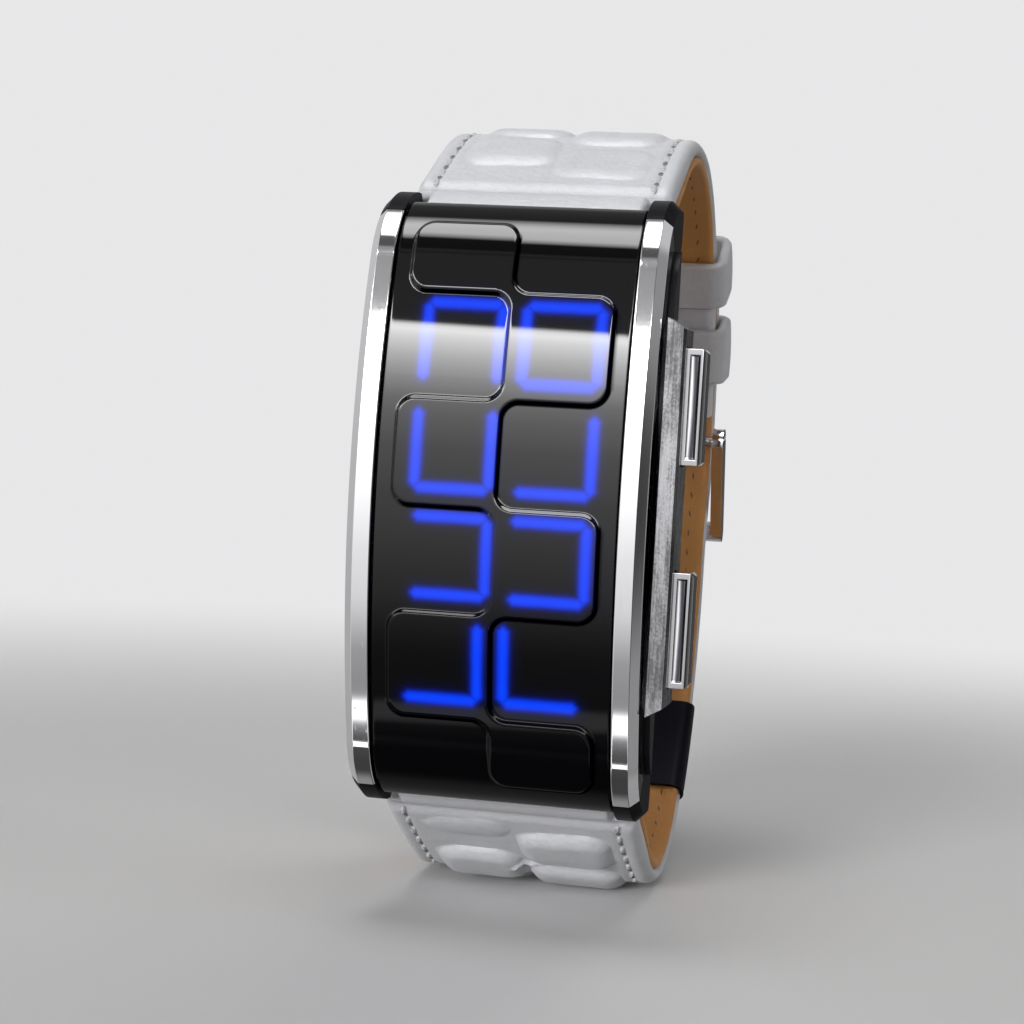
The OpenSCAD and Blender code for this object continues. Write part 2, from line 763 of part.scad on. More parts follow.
// Strap. A route is a start [y, z, heading] and a list of legs, each a straight
// [length, 0] or an arc [radius, turn]. Along it, at() gives the place and heading.
function leg_l(leg) = leg[1] == 0 ? leg[0] : leg[0] * abs(leg[1]) * PI / 180;
function legs_l(legs, n) = n <= 0 ? 0 : leg_l(legs[n - 1]) + legs_l(legs, n - 1);
function move(p, leg, share) =
    leg[1] == 0
    ? [p[0] + leg[0] * share * cos(p[2]), p[1] + leg[0] * share * sin(p[2]), p[2]]
    : let (r = leg[0] * sign(leg[1]), h = p[2] + leg[1] * share)
      [p[0] + r * (sin(h) - sin(p[2])), p[1] - r * (cos(h) - cos(p[2])), h];
function at(p, legs, s, i = 0) =
    s <= leg_l(legs[i]) || i == len(legs) - 1
    ? move(p, legs[i], s / leg_l(legs[i]))
    : at(move(p, legs[i], 1), legs, s - leg_l(legs[i]), i + 1);
// A point beside the route, at distance off to the left of the heading
function beside(q, off) = [q[0] - off * sin(q[2]), q[1] + off * cos(q[2])];

// Side view of a band from s0 to s1 between two distances beside the route.
// Each distance is [wanted side and share of the thickness, plus a fixed part].
band_step = 1.6;
module band(p, legs, s0, s1, lo, hi) {
    n = max(2, ceil((s1 - s0) / band_step));
    polygon(concat(
        [for (i = [0:n]) let (s = s0 + (s1 - s0) * i / n)
            beside(at(p, legs, s), lo[0] * strap_t(s) + lo[1])],
        [for (i = [n:-1:0]) let (s = s0 + (s1 - s0) * i / n)
            beside(at(p, legs, s), hi[0] * strap_t(s) + hi[1])]));
}

upper_start = [bar_y, bar_z, upper_rise];
buckle_run = 1.5;
pad_l = 12;
thin_from = 26;
upper_legs = [[upper_run, 0], [upper_r, -upper_turn], [back_r, upper_turn - upper_rise - 90],
    [buckle_run, 0]];
upper_l = legs_l(upper_legs, 4);
pivot = at(upper_start, upper_legs, upper_l);
back_centre = [pivot[0] - back_r, pivot[1] + buckle_run];
function strap_t(s) = lookup(s, [[0, pad_t], [pad_l, pad_t], [thin_from, thin_t]]);

// The lower strap rises from the wrist to lie on the upper strap's outside
layer_step = thin_t + soft_gap;
lower_start = [bar_y, -bar_z, -lower_drop];
lower_back = [[lower_run, 0], [lower_r, lower_turn], [back_r, 90 + lower_drop - lower_turn]];
lower_end = at(lower_start, lower_back, legs_l(lower_back, 3));
ramp_h = pivot[1] - lower_end[1];
ramp_out = pivot[0] + layer_step - lower_end[0];
ramp_turn = 2 * atan(ramp_out / ramp_h);
ramp_r = ramp_h / (2 * sin(ramp_turn));
tail_a = 33.5;
lower_legs = concat(lower_back, [[ramp_r, -ramp_turn], [ramp_r, ramp_turn], [buckle_run, 0],
    [back_r + layer_step, tail_a]]);
ramp_s = legs_l(lower_legs, 3);
lower_l = legs_l(lower_legs, 7);

neck_l = 3;
lining_from = 4.4;
half_w = strap_w / 2;
skin_gap = 0.02;
skin_root = 0.1;
skin_step = 0.2;
buckle_fold_r = buckle_bar_r + 0.7;
buckle_neck_l = 2.6;
flap_s = upper_l - flap_l;
pad_from = 4.6;
pad_rows = 4;
pad_side = 3;
pad_shift = 0.8;
pad_gap = 0.7;

// Embossed tiles: two columns of pads, with every other row moved to one side
module tiles(p, legs, s_from, rows, side) {
    half_x = half_w - pad_side;
    for (row = [0:rows - 1], c = [0, 1]) {
        s0 = s_from + row * (emboss_l + pad_gap);
        shift = (row % 2 == 0 ? -1 : 1) * pad_shift;
        x0 = c == 0 ? -half_x + max(0, shift) : pad_gap / 2;
        x1 = c == 0 ? -pad_gap / 2 : half_x + min(0, shift);
        across(x0, x1) band(p, legs, s0, s0 + emboss_l,
            [side * 0.5, side * -0.3], [side * 0.5, side * emboss]);
    }
}

// Leather outside of a strap half, with its folded end round the strap bar
module leather(p, legs, side, s_to) {
    z = p[1];
    difference() {
        union() {
            rod(fold_r, -neck_w / 2, neck_w / 2, bar_y, z, round_fn);
            across(-neck_w / 2, neck_w / 2)
                band(p, legs, 0, neck_l + 2 * skin_step, [0, -fold_r], [0, fold_r]);
            across(-half_w, half_w)
                band(p, legs, neck_l + skin_step, lining_from,
                    [-side * 0.5, 0], [side * skin_root, 0]);
            across(-half_w, half_w) band(p, legs, neck_l, s_to,
                [-side * 0.5, side * (lining_t + skin_gap)], [side * 0.5, 0]);
        }
        rod(bar_r + run_gap, -half_w, half_w, bar_y, z);
    }
}

module strap_upper() {
    neck_x = buckle_neck_w / 2;
    neck_s = upper_l - buckle_neck_l;
    color([0.93, 0.93, 0.95]) difference() {
        union() {
            leather(upper_start, upper_legs, 1, neck_s);
            across(-half_w, half_w)
                band(upper_start, upper_legs, flap_s, neck_s - skin_step,
                    [-0.5, 0], [skin_root, 0]);
            across(-neck_x, neck_x)
                band(upper_start, upper_legs, neck_s - 2 * skin_step, upper_l,
                    [-0.45, 0], [0.45, 0]);
            rod(buckle_fold_r, -neck_x, neck_x, pivot[0], pivot[1]);
            tiles(upper_start, upper_legs, pad_from, pad_rows, 1);
        }
        rod(buckle_bar_r + run_gap, -strap_w, strap_w, pivot[0], pivot[1]);
        // slot for the tongue
        translate([-tongue_w / 2 - soft_gap, pivot[0] - tongue_slot_d, pivot[1] - tongue_slot_d])
            cube([tongue_w + 2 * soft_gap, 2 * tongue_slot_d,
                tongue_slot_d + tongue_eye_r + tongue_slot_up]);
    }
}
tongue_slot_d = 3;
tongue_slot_up = 0.4;

module strap_upper_lining() {
    color([0.67, 0.5, 0.33]) across(-half_w, half_w)
        band(upper_start, upper_legs, lining_from + skin_gap, flap_s - skin_gap,
            [-0.5, 0], [-0.5, lining_t]);
}

module strap_lower() {
    color([0.93, 0.93, 0.95]) difference() {
        union() {
            leather(lower_start, lower_legs, -1, lower_l);
            tiles(lower_start, lower_legs, pad_from, pad_rows, -1);
        }
        tail_cuts();
    }
}

module strap_lower_lining() {
    color([0.67, 0.5, 0.33]) difference() {
        across(-half_w, half_w)
            band(lower_start, lower_legs, lining_from + skin_gap, lower_l,
                [0.5, -lining_t], [0.5, 0]);
        tail_cuts();
    }
}

// The hole that the tongue passes through, the spare holes and the rounded tip
module tail_cuts() {
    for (k = [1:spare_holes]) {
        q = at(lower_start, lower_legs, ramp_s - spare_from - hole_pitch * (k - 1));
        translate([0, q[0], q[1]]) rotate([q[2] + 90, 0, 0])
            cylinder(r = hole_r, h = 3 * thin_t, center = true, $fn = 32);
    }
    slot = tongue_w / 2 + soft_gap;
    translate([-slot, pivot[0], pivot[1] - slot_down])
        cube([2 * slot, 4 * thin_t, slot_down + slot_up]);
    tip = at(lower_start, lower_legs, lower_l);
    translate([0, tip[0], tip[1]]) rotate([tip[2], 0, 0]) tip_corners();
}
spare_from = 6;
slot_down = 1.9;
slot_up = 1.3;
tip_r = 16;
tip_cut = 0.05;

// What is cut off the tail's corners to leave a wide round tip
module tip_corners() {
    h = 4 * thin_t;
    l = half_w / 2 + 1;
    translate([0, -l - tip_cut, -h / 2]) difference() {
        translate([-half_w - 1, 0, 0]) cube([2 * half_w + 2, l + 1, h]);
        translate([0, l - tip_r, -1]) cylinder(r = tip_r, h = h + 2, $fn = round_fn);
    }
}

// Keepers: flat leather loops turned round the centre of the back bend
keeper_gap = 0.25;
keeper_corner = 1.1;
module keeper(a, l) {
    r_in = back_r - thin_t / 2 - keeper_gap;
    r_out = back_r + 1.5 * thin_t + soft_gap + keeper_gap;
    x_in = half_w + keeper_gap;
    x_out = x_in + keeper_t;
    span = l / (back_r + thin_t) * 180 / PI;
    translate([0, back_centre[0], back_centre[1]]) rotate([90, 0, 90]) rotate([0, 0, a - span / 2])
        rotate_extrude(angle = span, $fn = curve_fn) difference() {
            translate([(r_in + r_out) / 2, 0])
                round_rect((r_out - r_in) / 2 + keeper_t, x_out, keeper_corner);
            translate([r_in, -x_in]) square([r_out - r_in, 2 * x_in]);
        }
}

module fixed_keeper() { color([0.93, 0.93, 0.95]) keeper(fixed_keeper_a, fixed_keeper_l); }

module loose_keeper() { color([0.93, 0.93, 0.95]) keeper(loose_keeper_a, loose_keeper_l); }

sleeve_from = 3;
sleeve_gap = 0.12;
module strap_sleeve() {
    s0 = legs_l(lower_legs, 2) + sleeve_from;
    s1 = s0 + sleeve_l;
    x_in = half_w + sleeve_gap;
    color([0.05, 0.05, 0.055]) difference() {
        across(-x_in - sleeve_t, x_in + sleeve_t) band(lower_start, lower_legs, s0, s1,
            [-0.5, -sleeve_gap - sleeve_t], [0.5, sleeve_gap + sleeve_t]);
        across(-x_in, x_in) band(lower_start, lower_legs, s0 - 1, s1 + 1,
            [-0.5, -sleeve_gap], [0.5, sleeve_gap]);
    }
}

// Buckle: a frame and a tongue that both turn on the buckle bar. The front bar
// lies on the lower strap where it climbs to the outside.
arm_x = half_w + soft_gap;
arm_eye_r = 1.5;
bar_blind = 0.3;
under_bar = at(lower_start, lower_legs, ramp_s + ramp_h - buckle_l);
front_bar = beside(under_bar, -thin_t / 2 - soft_gap - front_bar_r);
arm_a = atan2(front_bar[1] - pivot[1], front_bar[0] - pivot[0]);
arm_l = norm([front_bar[0] - pivot[0], front_bar[1] - pivot[1]]);

module buckle_frame() {
    color([0.75, 0.75, 0.77]) difference() {
        union() {
            for (x = [-arm_x - arm_t, arm_x]) {
                rod(arm_eye_r, x, x + arm_t, pivot[0], pivot[1]);
                rod(front_bar_r, x, x + arm_t, front_bar[0], front_bar[1]);
                across(x, x + arm_t) translate([pivot[0], pivot[1]]) rotate(arm_a)
                    polygon([[0, -arm_eye_r], [arm_l, -front_bar_r], [arm_l, front_bar_r],
                        [0, arm_eye_r]]);
            }
            rod(front_bar_r, -arm_x, arm_x, front_bar[0], front_bar[1]);
        }
        bar_hole = arm_x + arm_t - bar_blind;
        rod(buckle_bar_r + seal_gap, -bar_hole, bar_hole, pivot[0], pivot[1]);
    }
}

module buckle_bar() {
    x = arm_x + arm_t - bar_blind - 2 * seat_gap;
    color([0.7, 0.7, 0.72]) rod(buckle_bar_r, -x, x, pivot[0], pivot[1]);
}

// The tongue leaves its eye through the tail's hole, turns at a knee outside
// the tail and comes down to rest on the front bar
tongue_eye_r = buckle_bar_r + 0.55;
tongue_over = 1.7;
knee_down = 1;
knee = [pivot[0] + layer_step + thin_t / 2 + slot_gap + tongue_t / 2, pivot[1] - knee_down];
knee_l = norm([front_bar[0] - knee[0], front_bar[1] - knee[1]]);
rest_d = front_bar_r + tongue_t / 2 + run_gap;
rest_a = atan2(front_bar[1] - knee[1], front_bar[0] - knee[0]) + asin(rest_d / knee_l);

// A straight length of tongue from p at angle a
module tongue_leg(p, a, l) {
    across(-tongue_w / 2, tongue_w / 2) translate(p) rotate(a)
        polygon([[0, -tongue_t / 2], [l, -tongue_t / 2], [l, 0], [l - tongue_t / 2, tongue_t / 2],
            [0, tongue_t / 2]]);
}

module buckle_tongue() {
    out_a = atan2(knee[1] - pivot[1], knee[0] - pivot[0]);
    out_l = norm([knee[0] - pivot[0], knee[1] - pivot[1]]);
    rest_l = sqrt(knee_l * knee_l - rest_d * rest_d);
    color([0.75, 0.75, 0.77]) difference() {
        union() {
            rod(tongue_eye_r, -tongue_w / 2, tongue_w / 2, pivot[0], pivot[1]);
            tongue_leg([pivot[0], pivot[1]], out_a, out_l);
            rod(tongue_t / 2, -tongue_w / 2, tongue_w / 2, knee[0], knee[1]);
            tongue_leg(knee, rest_a, rest_l + tongue_over);
        }
        rod(buckle_bar_r + run_gap, -tongue_w, tongue_w, pivot[0], pivot[1]);
    }
}
case_middle();
rail(-1);  // left_rail
rail(1);  // right_rail
rail_pins();
crystal();
crystal_seal();
light_mask();
segments_lit();
segments_dark();
led_chips();
display_board();
module_frame();
battery_upper();
battery_lower();
battery_contact();
case_back();
back_gasket();
back_screws();
side_boss();
button_guard();
guard_screws();
pusher_upper();
pusher_lower();
pusher_clip_upper();
pusher_clip_lower();
pusher_seals();
strap_bar_upper();
strap_bar_lower();
strap_upper();
strap_upper_lining();
strap_lower();
strap_lower_lining();
fixed_keeper();
loose_keeper();
strap_sleeve();
buckle_frame();
buckle_bar();
buckle_tongue();
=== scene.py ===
import math

import bmesh
import bpy
from mathutils import Matrix, Vector, noise


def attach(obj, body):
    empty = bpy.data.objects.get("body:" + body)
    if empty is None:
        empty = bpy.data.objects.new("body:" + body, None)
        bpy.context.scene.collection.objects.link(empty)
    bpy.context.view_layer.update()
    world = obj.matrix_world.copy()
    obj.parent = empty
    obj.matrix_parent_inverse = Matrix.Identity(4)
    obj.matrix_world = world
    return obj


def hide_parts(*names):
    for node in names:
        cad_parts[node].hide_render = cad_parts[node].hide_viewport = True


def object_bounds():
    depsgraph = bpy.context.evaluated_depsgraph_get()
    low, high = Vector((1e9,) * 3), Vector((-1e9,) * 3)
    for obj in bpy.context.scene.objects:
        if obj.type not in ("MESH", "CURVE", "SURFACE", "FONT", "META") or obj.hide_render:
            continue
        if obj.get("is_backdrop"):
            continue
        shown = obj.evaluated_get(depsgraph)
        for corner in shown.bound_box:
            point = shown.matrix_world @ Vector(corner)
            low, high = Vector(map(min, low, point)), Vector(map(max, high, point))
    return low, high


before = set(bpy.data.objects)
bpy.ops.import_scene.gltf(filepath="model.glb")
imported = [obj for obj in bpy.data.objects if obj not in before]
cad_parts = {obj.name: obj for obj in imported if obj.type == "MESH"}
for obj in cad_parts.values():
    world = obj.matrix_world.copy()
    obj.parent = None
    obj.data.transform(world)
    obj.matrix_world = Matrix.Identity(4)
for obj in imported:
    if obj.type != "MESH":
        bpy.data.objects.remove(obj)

bl_info = {
    "name": "Upright LED Watch",
    "version": (1, 0, 0),
    "blender": (4, 5, 0),
    "location": "3D View > Sidebar > LED Watch",
    "description": "Dresses an upright LED watch with its crystal, rails, padded strap and finishes",
    "category": "Object",
}

MM = 0.001


# Case, rails and crystal, in mm
FRONT_R = 71.0  # radius of the long front arc
END_R = 8.8  # radius of the arc at each end
FRONT_CY = 60.4  # how far back the front arc's centre is
END_Y = 1.206  # how far back an end arc's centre is
END_CZ = 19.2  # height of an end arc's centre
TURN_A = math.radians(17.971)  # angle at which the front arc meets an end arc
RAIL_IN = 10.89  # inner side of a rail
RAIL_X = 13.25  # outer side of a rail
RAIL_D = 3.0  # depth of a rail
RAIL_END_A = math.radians(50)  # angle of the end arc at which a rail ends
LENS_X = 10.79  # half width of the crystal
LENS_T = 1.6  # its thickness
LENS_ROUND = 0.25  # rounding of its rim
LENS_END_A = math.radians(66)  # angle of the end arc at which it ends

# Hollow-ground plates in the pushers' sunk fronts, in mm
PUSHER_Z = 9.7  # height of a pusher's middle, up or down
INLAY_X = (15.83, 16.62)  # sides of a plate
INLAY_Y = -6.78  # its front
INLAY_HALF = 4.46  # half its height

# Tiles of the crystal, in mm: the heights that part them, then side, middle and half height of each
TILE_X = 9.19  # width of a tile
TILE_CORNER = 1.6  # radius of its corners
TILE_NECK = 1.9  # half width of the neck between two tiles
TILE_ENDS = (-25.0, -18.8, -9.4, 0.0, 9.4, 18.8, 25.0)
TILES = [(1 if k % 2 == 0 else -1, (a + b) / 2, (b - a) / 2)
         for k, (a, b) in enumerate(zip(TILE_ENDS, TILE_ENDS[1:]))]

# Light bars, in mm: the middle of each from its digit's, in the order of the lit states
DIGIT_X = 4.42  # middle of a digit, to each side
DIGIT_Z = 9.3  # middle of a digit, up or down
BARS = [(0.0, 8.05), (3.3, 4.65), (3.3, -4.65), (0.0, -8.05), (-3.3, -4.65), (-3.3, 4.65), (0.0, 1.25)]
FLAT_HALF = 3.35  # half length of a flat bar with its glow
UPRIGHT_HALF = 3.45  # half length of an upright bar with its glow
BOTTOM_SHIFT = 0.45  # how far the lower bars of the lower digits are moved
LIT = {"0": "1111110", "9": "1111011", "3": "1111001", "2": "1101101"}
DIGITS = ((-1, 1, "0"), (1, 1, "9"), (-1, -1, "3"), (1, -1, "2"))

# Strap, in mm: places are distances along its middle line from the strap bar
FOLD_R = 1.75  # half thickness of the fold round a strap bar
LINING_T = 0.9  # thickness of the lining
LINING_FROM = 4.42  # where the lining starts
NECK_HALF = 10.3  # half width of the strap between the lugs
FLAP_S = 49.37  # where the upper half's lining stops
BACK_R = 34.5  # radius of the bend behind the wrist
UPPER_BACK = 30.1  # turn of the upper half in that bend, in degrees
LAYER = 2.5  # distance of the lower half from the upper one that it covers
FULL_T = 3.8  # thickness near the case
THIN_T = 2.2  # thickness behind the wrist
FOLD_END = 3.25  # where the fold meets the padded strap
NARROW_HALF = 9.0  # half width of the upper half at the buckle
NOSE_R = 1.3  # radius of the upper half's end round the buckle bar
TAIL_R = 16.0  # radius of the lower half's tip, seen flat
END_ROUND = 0.8  # rounding of the lower half's end, seen from the side
LEATHER_RIM = 0.075  # rounded share of the leather's half width
LINING_RIM = 0.035  # rounded share of the lining's half width
SEAM_FROM = 4.6  # where the seams start
SEAM_STEP = 0.4  # distance of the places that a seam is drawn through
HOLE_R = 0.9  # radius of a hole
HOLE_PITCH = 5.5  # distance from hole to hole
KEEPER_GAP = 0.75  # room between the strap and a keeper's middle
KEEPER_T = 1.0  # thickness of a keeper
SLEEVE_GAP = 0.32  # room between the strap and the sleeve's middle
SLEEVE_T = 0.36  # thickness of the sleeve
SLEEVE_S = 45.09  # middle of the sleeve
SLEEVE_LONG = 10.6  # its length


def smooth(x, lo=0.0, hi=1.0):
    """A soft step from 0 at lo to 1 at hi."""
    x = min(max((x - lo) / (hi - lo), 0.0), 1.0)
    return x * x * (3 - 2 * x)


def round_edge(share):
    """Height of a quarter-round edge: 0 at its foot, and 1 from a share of 1 on."""
    return math.sqrt(max(0.0, 1 - (1 - min(share, 1.0)) ** 2))


def bell(away, width):
    """A soft bell: 1 in its middle, and almost nothing past twice its width."""
    return math.exp(-(away / width) ** 2)


def closing(end, depth):
    """Places that come closer to each other up to an end, as round an edge."""
    return [end - depth * (1 - math.sin(a * math.pi / 12)) for a in range(7)]


class Route:
    """The middle line of a strap half in side view: straights and arcs from a start."""

    def __init__(self, start, legs, side):
        self.start, self.legs, self.side = start, legs, side

    @staticmethod
    def length(leg):
        return leg[0] if leg[1] == 0 else leg[0] * abs(math.radians(leg[1]))

    def total(self, legs=None):
        return sum(self.length(leg) for leg in self.legs[:legs])

    def at(self, s):
        """Place and heading, in radians, at distance s along the line."""
        y, z, heading = self.start[0], self.start[1], math.radians(self.start[2])
        for i, leg in enumerate(self.legs):
            run = self.length(leg)
            step = s if i == len(self.legs) - 1 else min(s, run)
            if leg[1] == 0:
                y, z = y + step * math.cos(heading), z + step * math.sin(heading)
            else:
                r = math.copysign(leg[0], leg[1])
                turned = heading + step / r
                y += r * (math.sin(turned) - math.sin(heading))
                z -= r * (math.cos(turned) - math.cos(heading))
                heading = turned
            s -= step
            if s <= 0:
                break
        return y, z, heading

    def place(self, x, t, s, at=None):
        """The point at x, at t outside the line and s along it, in metres."""
        y, z, heading = at or self.at(s)
        t *= self.side
        return Vector((x, y - t * math.sin(heading), z + t * math.cos(heading))) * MM


def lower_route(pivot):
    """The lower strap: round the wrist, then out over the upper strap's end."""
    legs = [(17.5, 0), (15.5, 75.0), (BACK_R, 46.0)]
    start = (0.7, -25.7, -31.0)
    end = Route(start, legs, -1)
    y, z, _ = end.at(end.total())
    rise, out = pivot[1] - z, pivot[0] + LAYER - y
    turn = 2 * math.atan(out / rise)
    r = rise / (2 * math.sin(turn))
    turn = math.degrees(turn)
    legs += [(r, -turn), (r, turn), (1.5, 0), (BACK_R + LAYER, 33.5)]
    return Route(start, legs, -1)


UPPER = Route((0.7, 25.7, 27.5), [(15, 0), (19.5, -87.4), (BACK_R, -UPPER_BACK), (1.5, 0)], 1)
PIVOT = UPPER.at(UPPER.total())
LOWER = lower_route(PIVOT)


# The studio that shines in metal and glass: brightness by height, in degrees
BRIGHTEST = 25.0
FRONT_LEVELS = [(-90, 0.06), (-62, 0.06), (-46, 0.08), (-42, 0.1), (-39.2, 0.3), (-38.4, 2.2),
                (-36, 2.2), (-35, 0.3), (-26.5, 0.4), (-22, 0.65), (-18, 0.85), (-10, 1.0),
                (-1.5, 1.3), (7, 2.0), (12, 3.0), (15, 4.0), (18.4, 7.0), (22, 12.0), (25, 18.0),
                (26.6, 24.0), (27.2, 0.45), (38, 0.4), (39.5, 0.25), (44, 0.4), (46, 0.1),
                (58, 0.12), (61, 5.0), (65, 10.0), (85, 10.0), (90, 8.0)]
REAR_LEVELS = [(-60, 0.3), (-10, 0.5), (10, 0.66), (45, 0.62), (55, 0.2), (78, 0.2), (84, 0.5),
               (87, 6.0), (90, 8.0)]
LEFT_LEVEL = 0.8
RIGHT_LEVEL = 0.04
BESIDE_LEVEL = 0.32

# Where each side of the studio takes over, by the x or y of the direction
LEFT_FROM = (-0.7, -0.9)
RIGHT_FROM = (0.55, 0.8)
REAR_FROM = (-0.15, 0.2)
GAP_FROM = (0.0, 0.12)
GAP_TO = (0.5, 0.38)
BESIDE_FROM = (0.8, 0.9)
BESIDE_BEHIND = (-0.15, -0.08)

# Lamps: place and size in metres, and share of the key lamp's power
LAMPS = [("key", (-0.24, -0.88, 0.17), 0.28, 1.0),
         ("top", (-0.05, -0.06, 0.5), 0.25, 0.085),
         ("side", (0.5, -0.12, 0.16), 0.3, 0.06),
         ("back", (0.1, 0.55, 0.45), 0.4, 0.13)]

# Where the floor fades into the backdrop, in metres from its middle
FADE = (0.1, 0.32)


# Shader writing
class Value:
    """A node's output socket. Arithmetic on it adds Math nodes."""

    def __init__(self, tree, socket):
        self.tree, self.socket = tree, socket

    def math(self, operation, *values, first=None):
        node = self.tree.nodes.new("ShaderNodeMath")
        node.operation = operation
        for socket, value in zip(node.inputs, (self if first is None else first, *values)):
            plug(self.tree, socket, value)
        return Value(self.tree, node.outputs[0])

    def __add__(self, other):
        return self.math("ADD", other)

    def __sub__(self, other):
        return self.math("SUBTRACT", other)

    def __rsub__(self, other):
        return self.math("SUBTRACT", self, first=other)

    def __mul__(self, other):
        return self.math("MULTIPLY", other)

    def __pow__(self, other):
        return self.math("POWER", other)

    __radd__, __rmul__ = __add__, __mul__

    def absolute(self):
        return self.math("ABSOLUTE")

    def least(self, other):
        return self.math("MINIMUM", other)

    def most(self, other):
        return self.math("MAXIMUM", other)


def plug(tree, socket, value):
    """Links a wrapped socket, or sets a plain value."""
    if isinstance(value, Value):
        tree.links.new(value.socket, socket)
    elif isinstance(value, (tuple, list)) and len(value) == 3 and len(socket.default_value) == 4:
        socket.default_value = (*value, 1)
    else:
        socket.default_value = value


class Sheet:
    """A node tree under construction, of a material or of the world."""

    def __init__(self, owner):
        owner.use_nodes = True
        self.tree = owner.node_tree

    def add(self, kind, settings=None, inputs=None, out=0):
        """Adds a node: its settings first, then its sockets' values or links."""
        node = self.tree.nodes.new(kind)
        for key, value in (settings or {}).items():
            if key == "stops":
                ramp = node.color_ramp
                while len(ramp.elements) < len(value):
                    ramp.elements.new(0.5)
                for element, (at, colour) in zip(ramp.elements, value):
                    element.position = at
                    element.color = (*colour, 1) if isinstance(colour, tuple) else (colour,) * 3 + (1,)
            else:
                setattr(node, key, value)
        for key, value in (inputs or {}).items():
            plug(self.tree, node.inputs[key], value)
        return Value(self.tree, node.outputs[out])

    def between(self, value, lo, hi):
        """A soft step of a value, from 0 at lo to 1 at hi."""
        return self.add("ShaderNodeMapRange", {"interpolation_type": "SMOOTHSTEP"},
                        {0: value, 1: lo, 2: hi})

    def ramp(self, value, stops):
        return self.add("ShaderNodeValToRGB", {"stops": stops}, {0: value})

    def blend(self, share, a, b):
        """A mix of two colours."""
        return self.add("ShaderNodeMix", {"data_type": "RGBA"}, {0: share, 6: a, 7: b}, 2)

    def parts(self, vector):
        """The three numbers of a vector."""
        node = self.add("ShaderNodeSeparateXYZ", None, {0: vector}).socket.node
        return [Value(self.tree, socket) for socket in node.outputs]


class Finish(Sheet):
    """A material whose looks come from Object coordinates, with one main shader."""

    def __init__(self, name, colour, rough, metallic=0.0, **steady):
        self.material = bpy.data.materials.new(name)
        super().__init__(self.material)
        self.shader = self.tree.nodes["Principled BSDF"]
        self.colour, self.rough = colour, rough
        self.set("Base Color", colour)
        self.set("Roughness", rough)
        self.set("Metallic", metallic)
        for key, value in steady.items():
            self.set(key.replace("_", " "), value)
        self.spot = self.add("ShaderNodeTexCoord", None, None, "Object")

    def set(self, name, value):
        plug(self.tree, self.shader.inputs[name], value)

    def stretch(self, scale):
        """Object coordinates scaled by a factor on each axis."""
        return self.add("ShaderNodeMapping", None, {"Vector": self.spot, "Scale": scale})

    def cloud(self, scale, detail=3.0, spot=None):
        """Soft noise of so many waves in a metre."""
        return self.add("ShaderNodeTexNoise", None,
                        {"Vector": spot or self.spot, "Scale": scale, "Detail": detail})

    def cells(self, scale, feature="F1"):
        return self.add("ShaderNodeTexVoronoi", {"feature": feature},
                        {"Vector": self.spot, "Scale": scale})

    def crease(self):
        """The piece's own attribute that says how much painted shade a place gets."""
        return self.add("ShaderNodeAttribute", {"attribute_name": "crease"}, None, "Fac")

    def shade(self, share, dark, light=None):
        """Base colour between a darker and a lighter one."""
        self.set("Base Color", self.blend(share, dark, light or self.colour))

    def relief(self, height, depth, strength=1.0):
        """A bump of so many metres."""
        self.set("Normal", self.add("ShaderNodeBump", None,
                                    {"Strength": strength, "Distance": depth, "Height": height}))

    def cover(self, share, kind, colour):
        """Lets another shader of one colour take over by a share."""
        over = self.add(kind, None, {0: colour})
        both = self.add("ShaderNodeMixShader", None, {0: share, 2: over}).socket.node
        self.tree.links.new(self.shader.outputs[0], both.inputs[1])
        self.tree.links.new(both.outputs[0], self.tree.nodes["Material Output"].inputs[0])


def tint(colour, factor):
    return tuple(min(1.0, c * factor) for c in colour)


def moulded(name, colour, rough=0.5, grain=900.0, gloss=0.5):
    """Moulded plastic, rubber or paint with a fine grain."""
    f = Finish(name, colour, rough, Specular_IOR_Level=gloss)
    fine, wide = f.cloud(grain, 4.0), f.cloud(130.0, 3.0)
    f.shade(wide, tint(colour, 0.75), tint(colour, 1.3))
    f.set("Roughness", rough - 0.09 + 0.18 * wide)
    f.relief(fine, 0.00003, 0.25)
    return f.material


def polished(name, colour, rough=0.05):
    """Chrome plate with faint smears and hairline scratches."""
    f = Finish(name, colour, rough, 1.0)
    smear = f.cloud(170.0, 4.0)
    hair = f.cloud(60.0, 6.0, f.stretch((40.0, 40.0, 2.0)))
    wear = f.between(hair, 0.63, 0.72)
    f.shade(smear, tint(colour, 0.9))
    f.set("Roughness", rough + 0.05 * smear + 0.14 * wear)
    f.relief(hair, 0.000004, 0.12)
    return f.material


def brushed(name, colour, along, rough=0.3, mottle=0.1):
    """Brushed metal whose fine lines run along one axis."""
    f = Finish(name, colour, rough, 1.0)

    def drawn_out(on_axis, off_axis):
        return f.stretch(tuple(on_axis if axis == along else off_axis for axis in "xyz"))

    lines = f.cloud(230.0, 5.0, drawn_out(1.0, 24.0))
    patch = f.cloud(260.0, 6.0, drawn_out(0.45, 1.4))
    grit = f.cloud(4200.0, 3.0)
    worn = f.between(patch + 0.3 * (grit - 0.5) + 0.3 * (lines - 0.5), 0.36, 0.64)
    f.shade(worn, tint(colour, 1 - mottle), tint(colour, 1 + mottle * 0.6))
    f.set("Roughness", rough - 0.08 + 0.2 * lines)
    f.relief(lines + 0.15 * patch, 0.00001, 0.35)
    return f.material


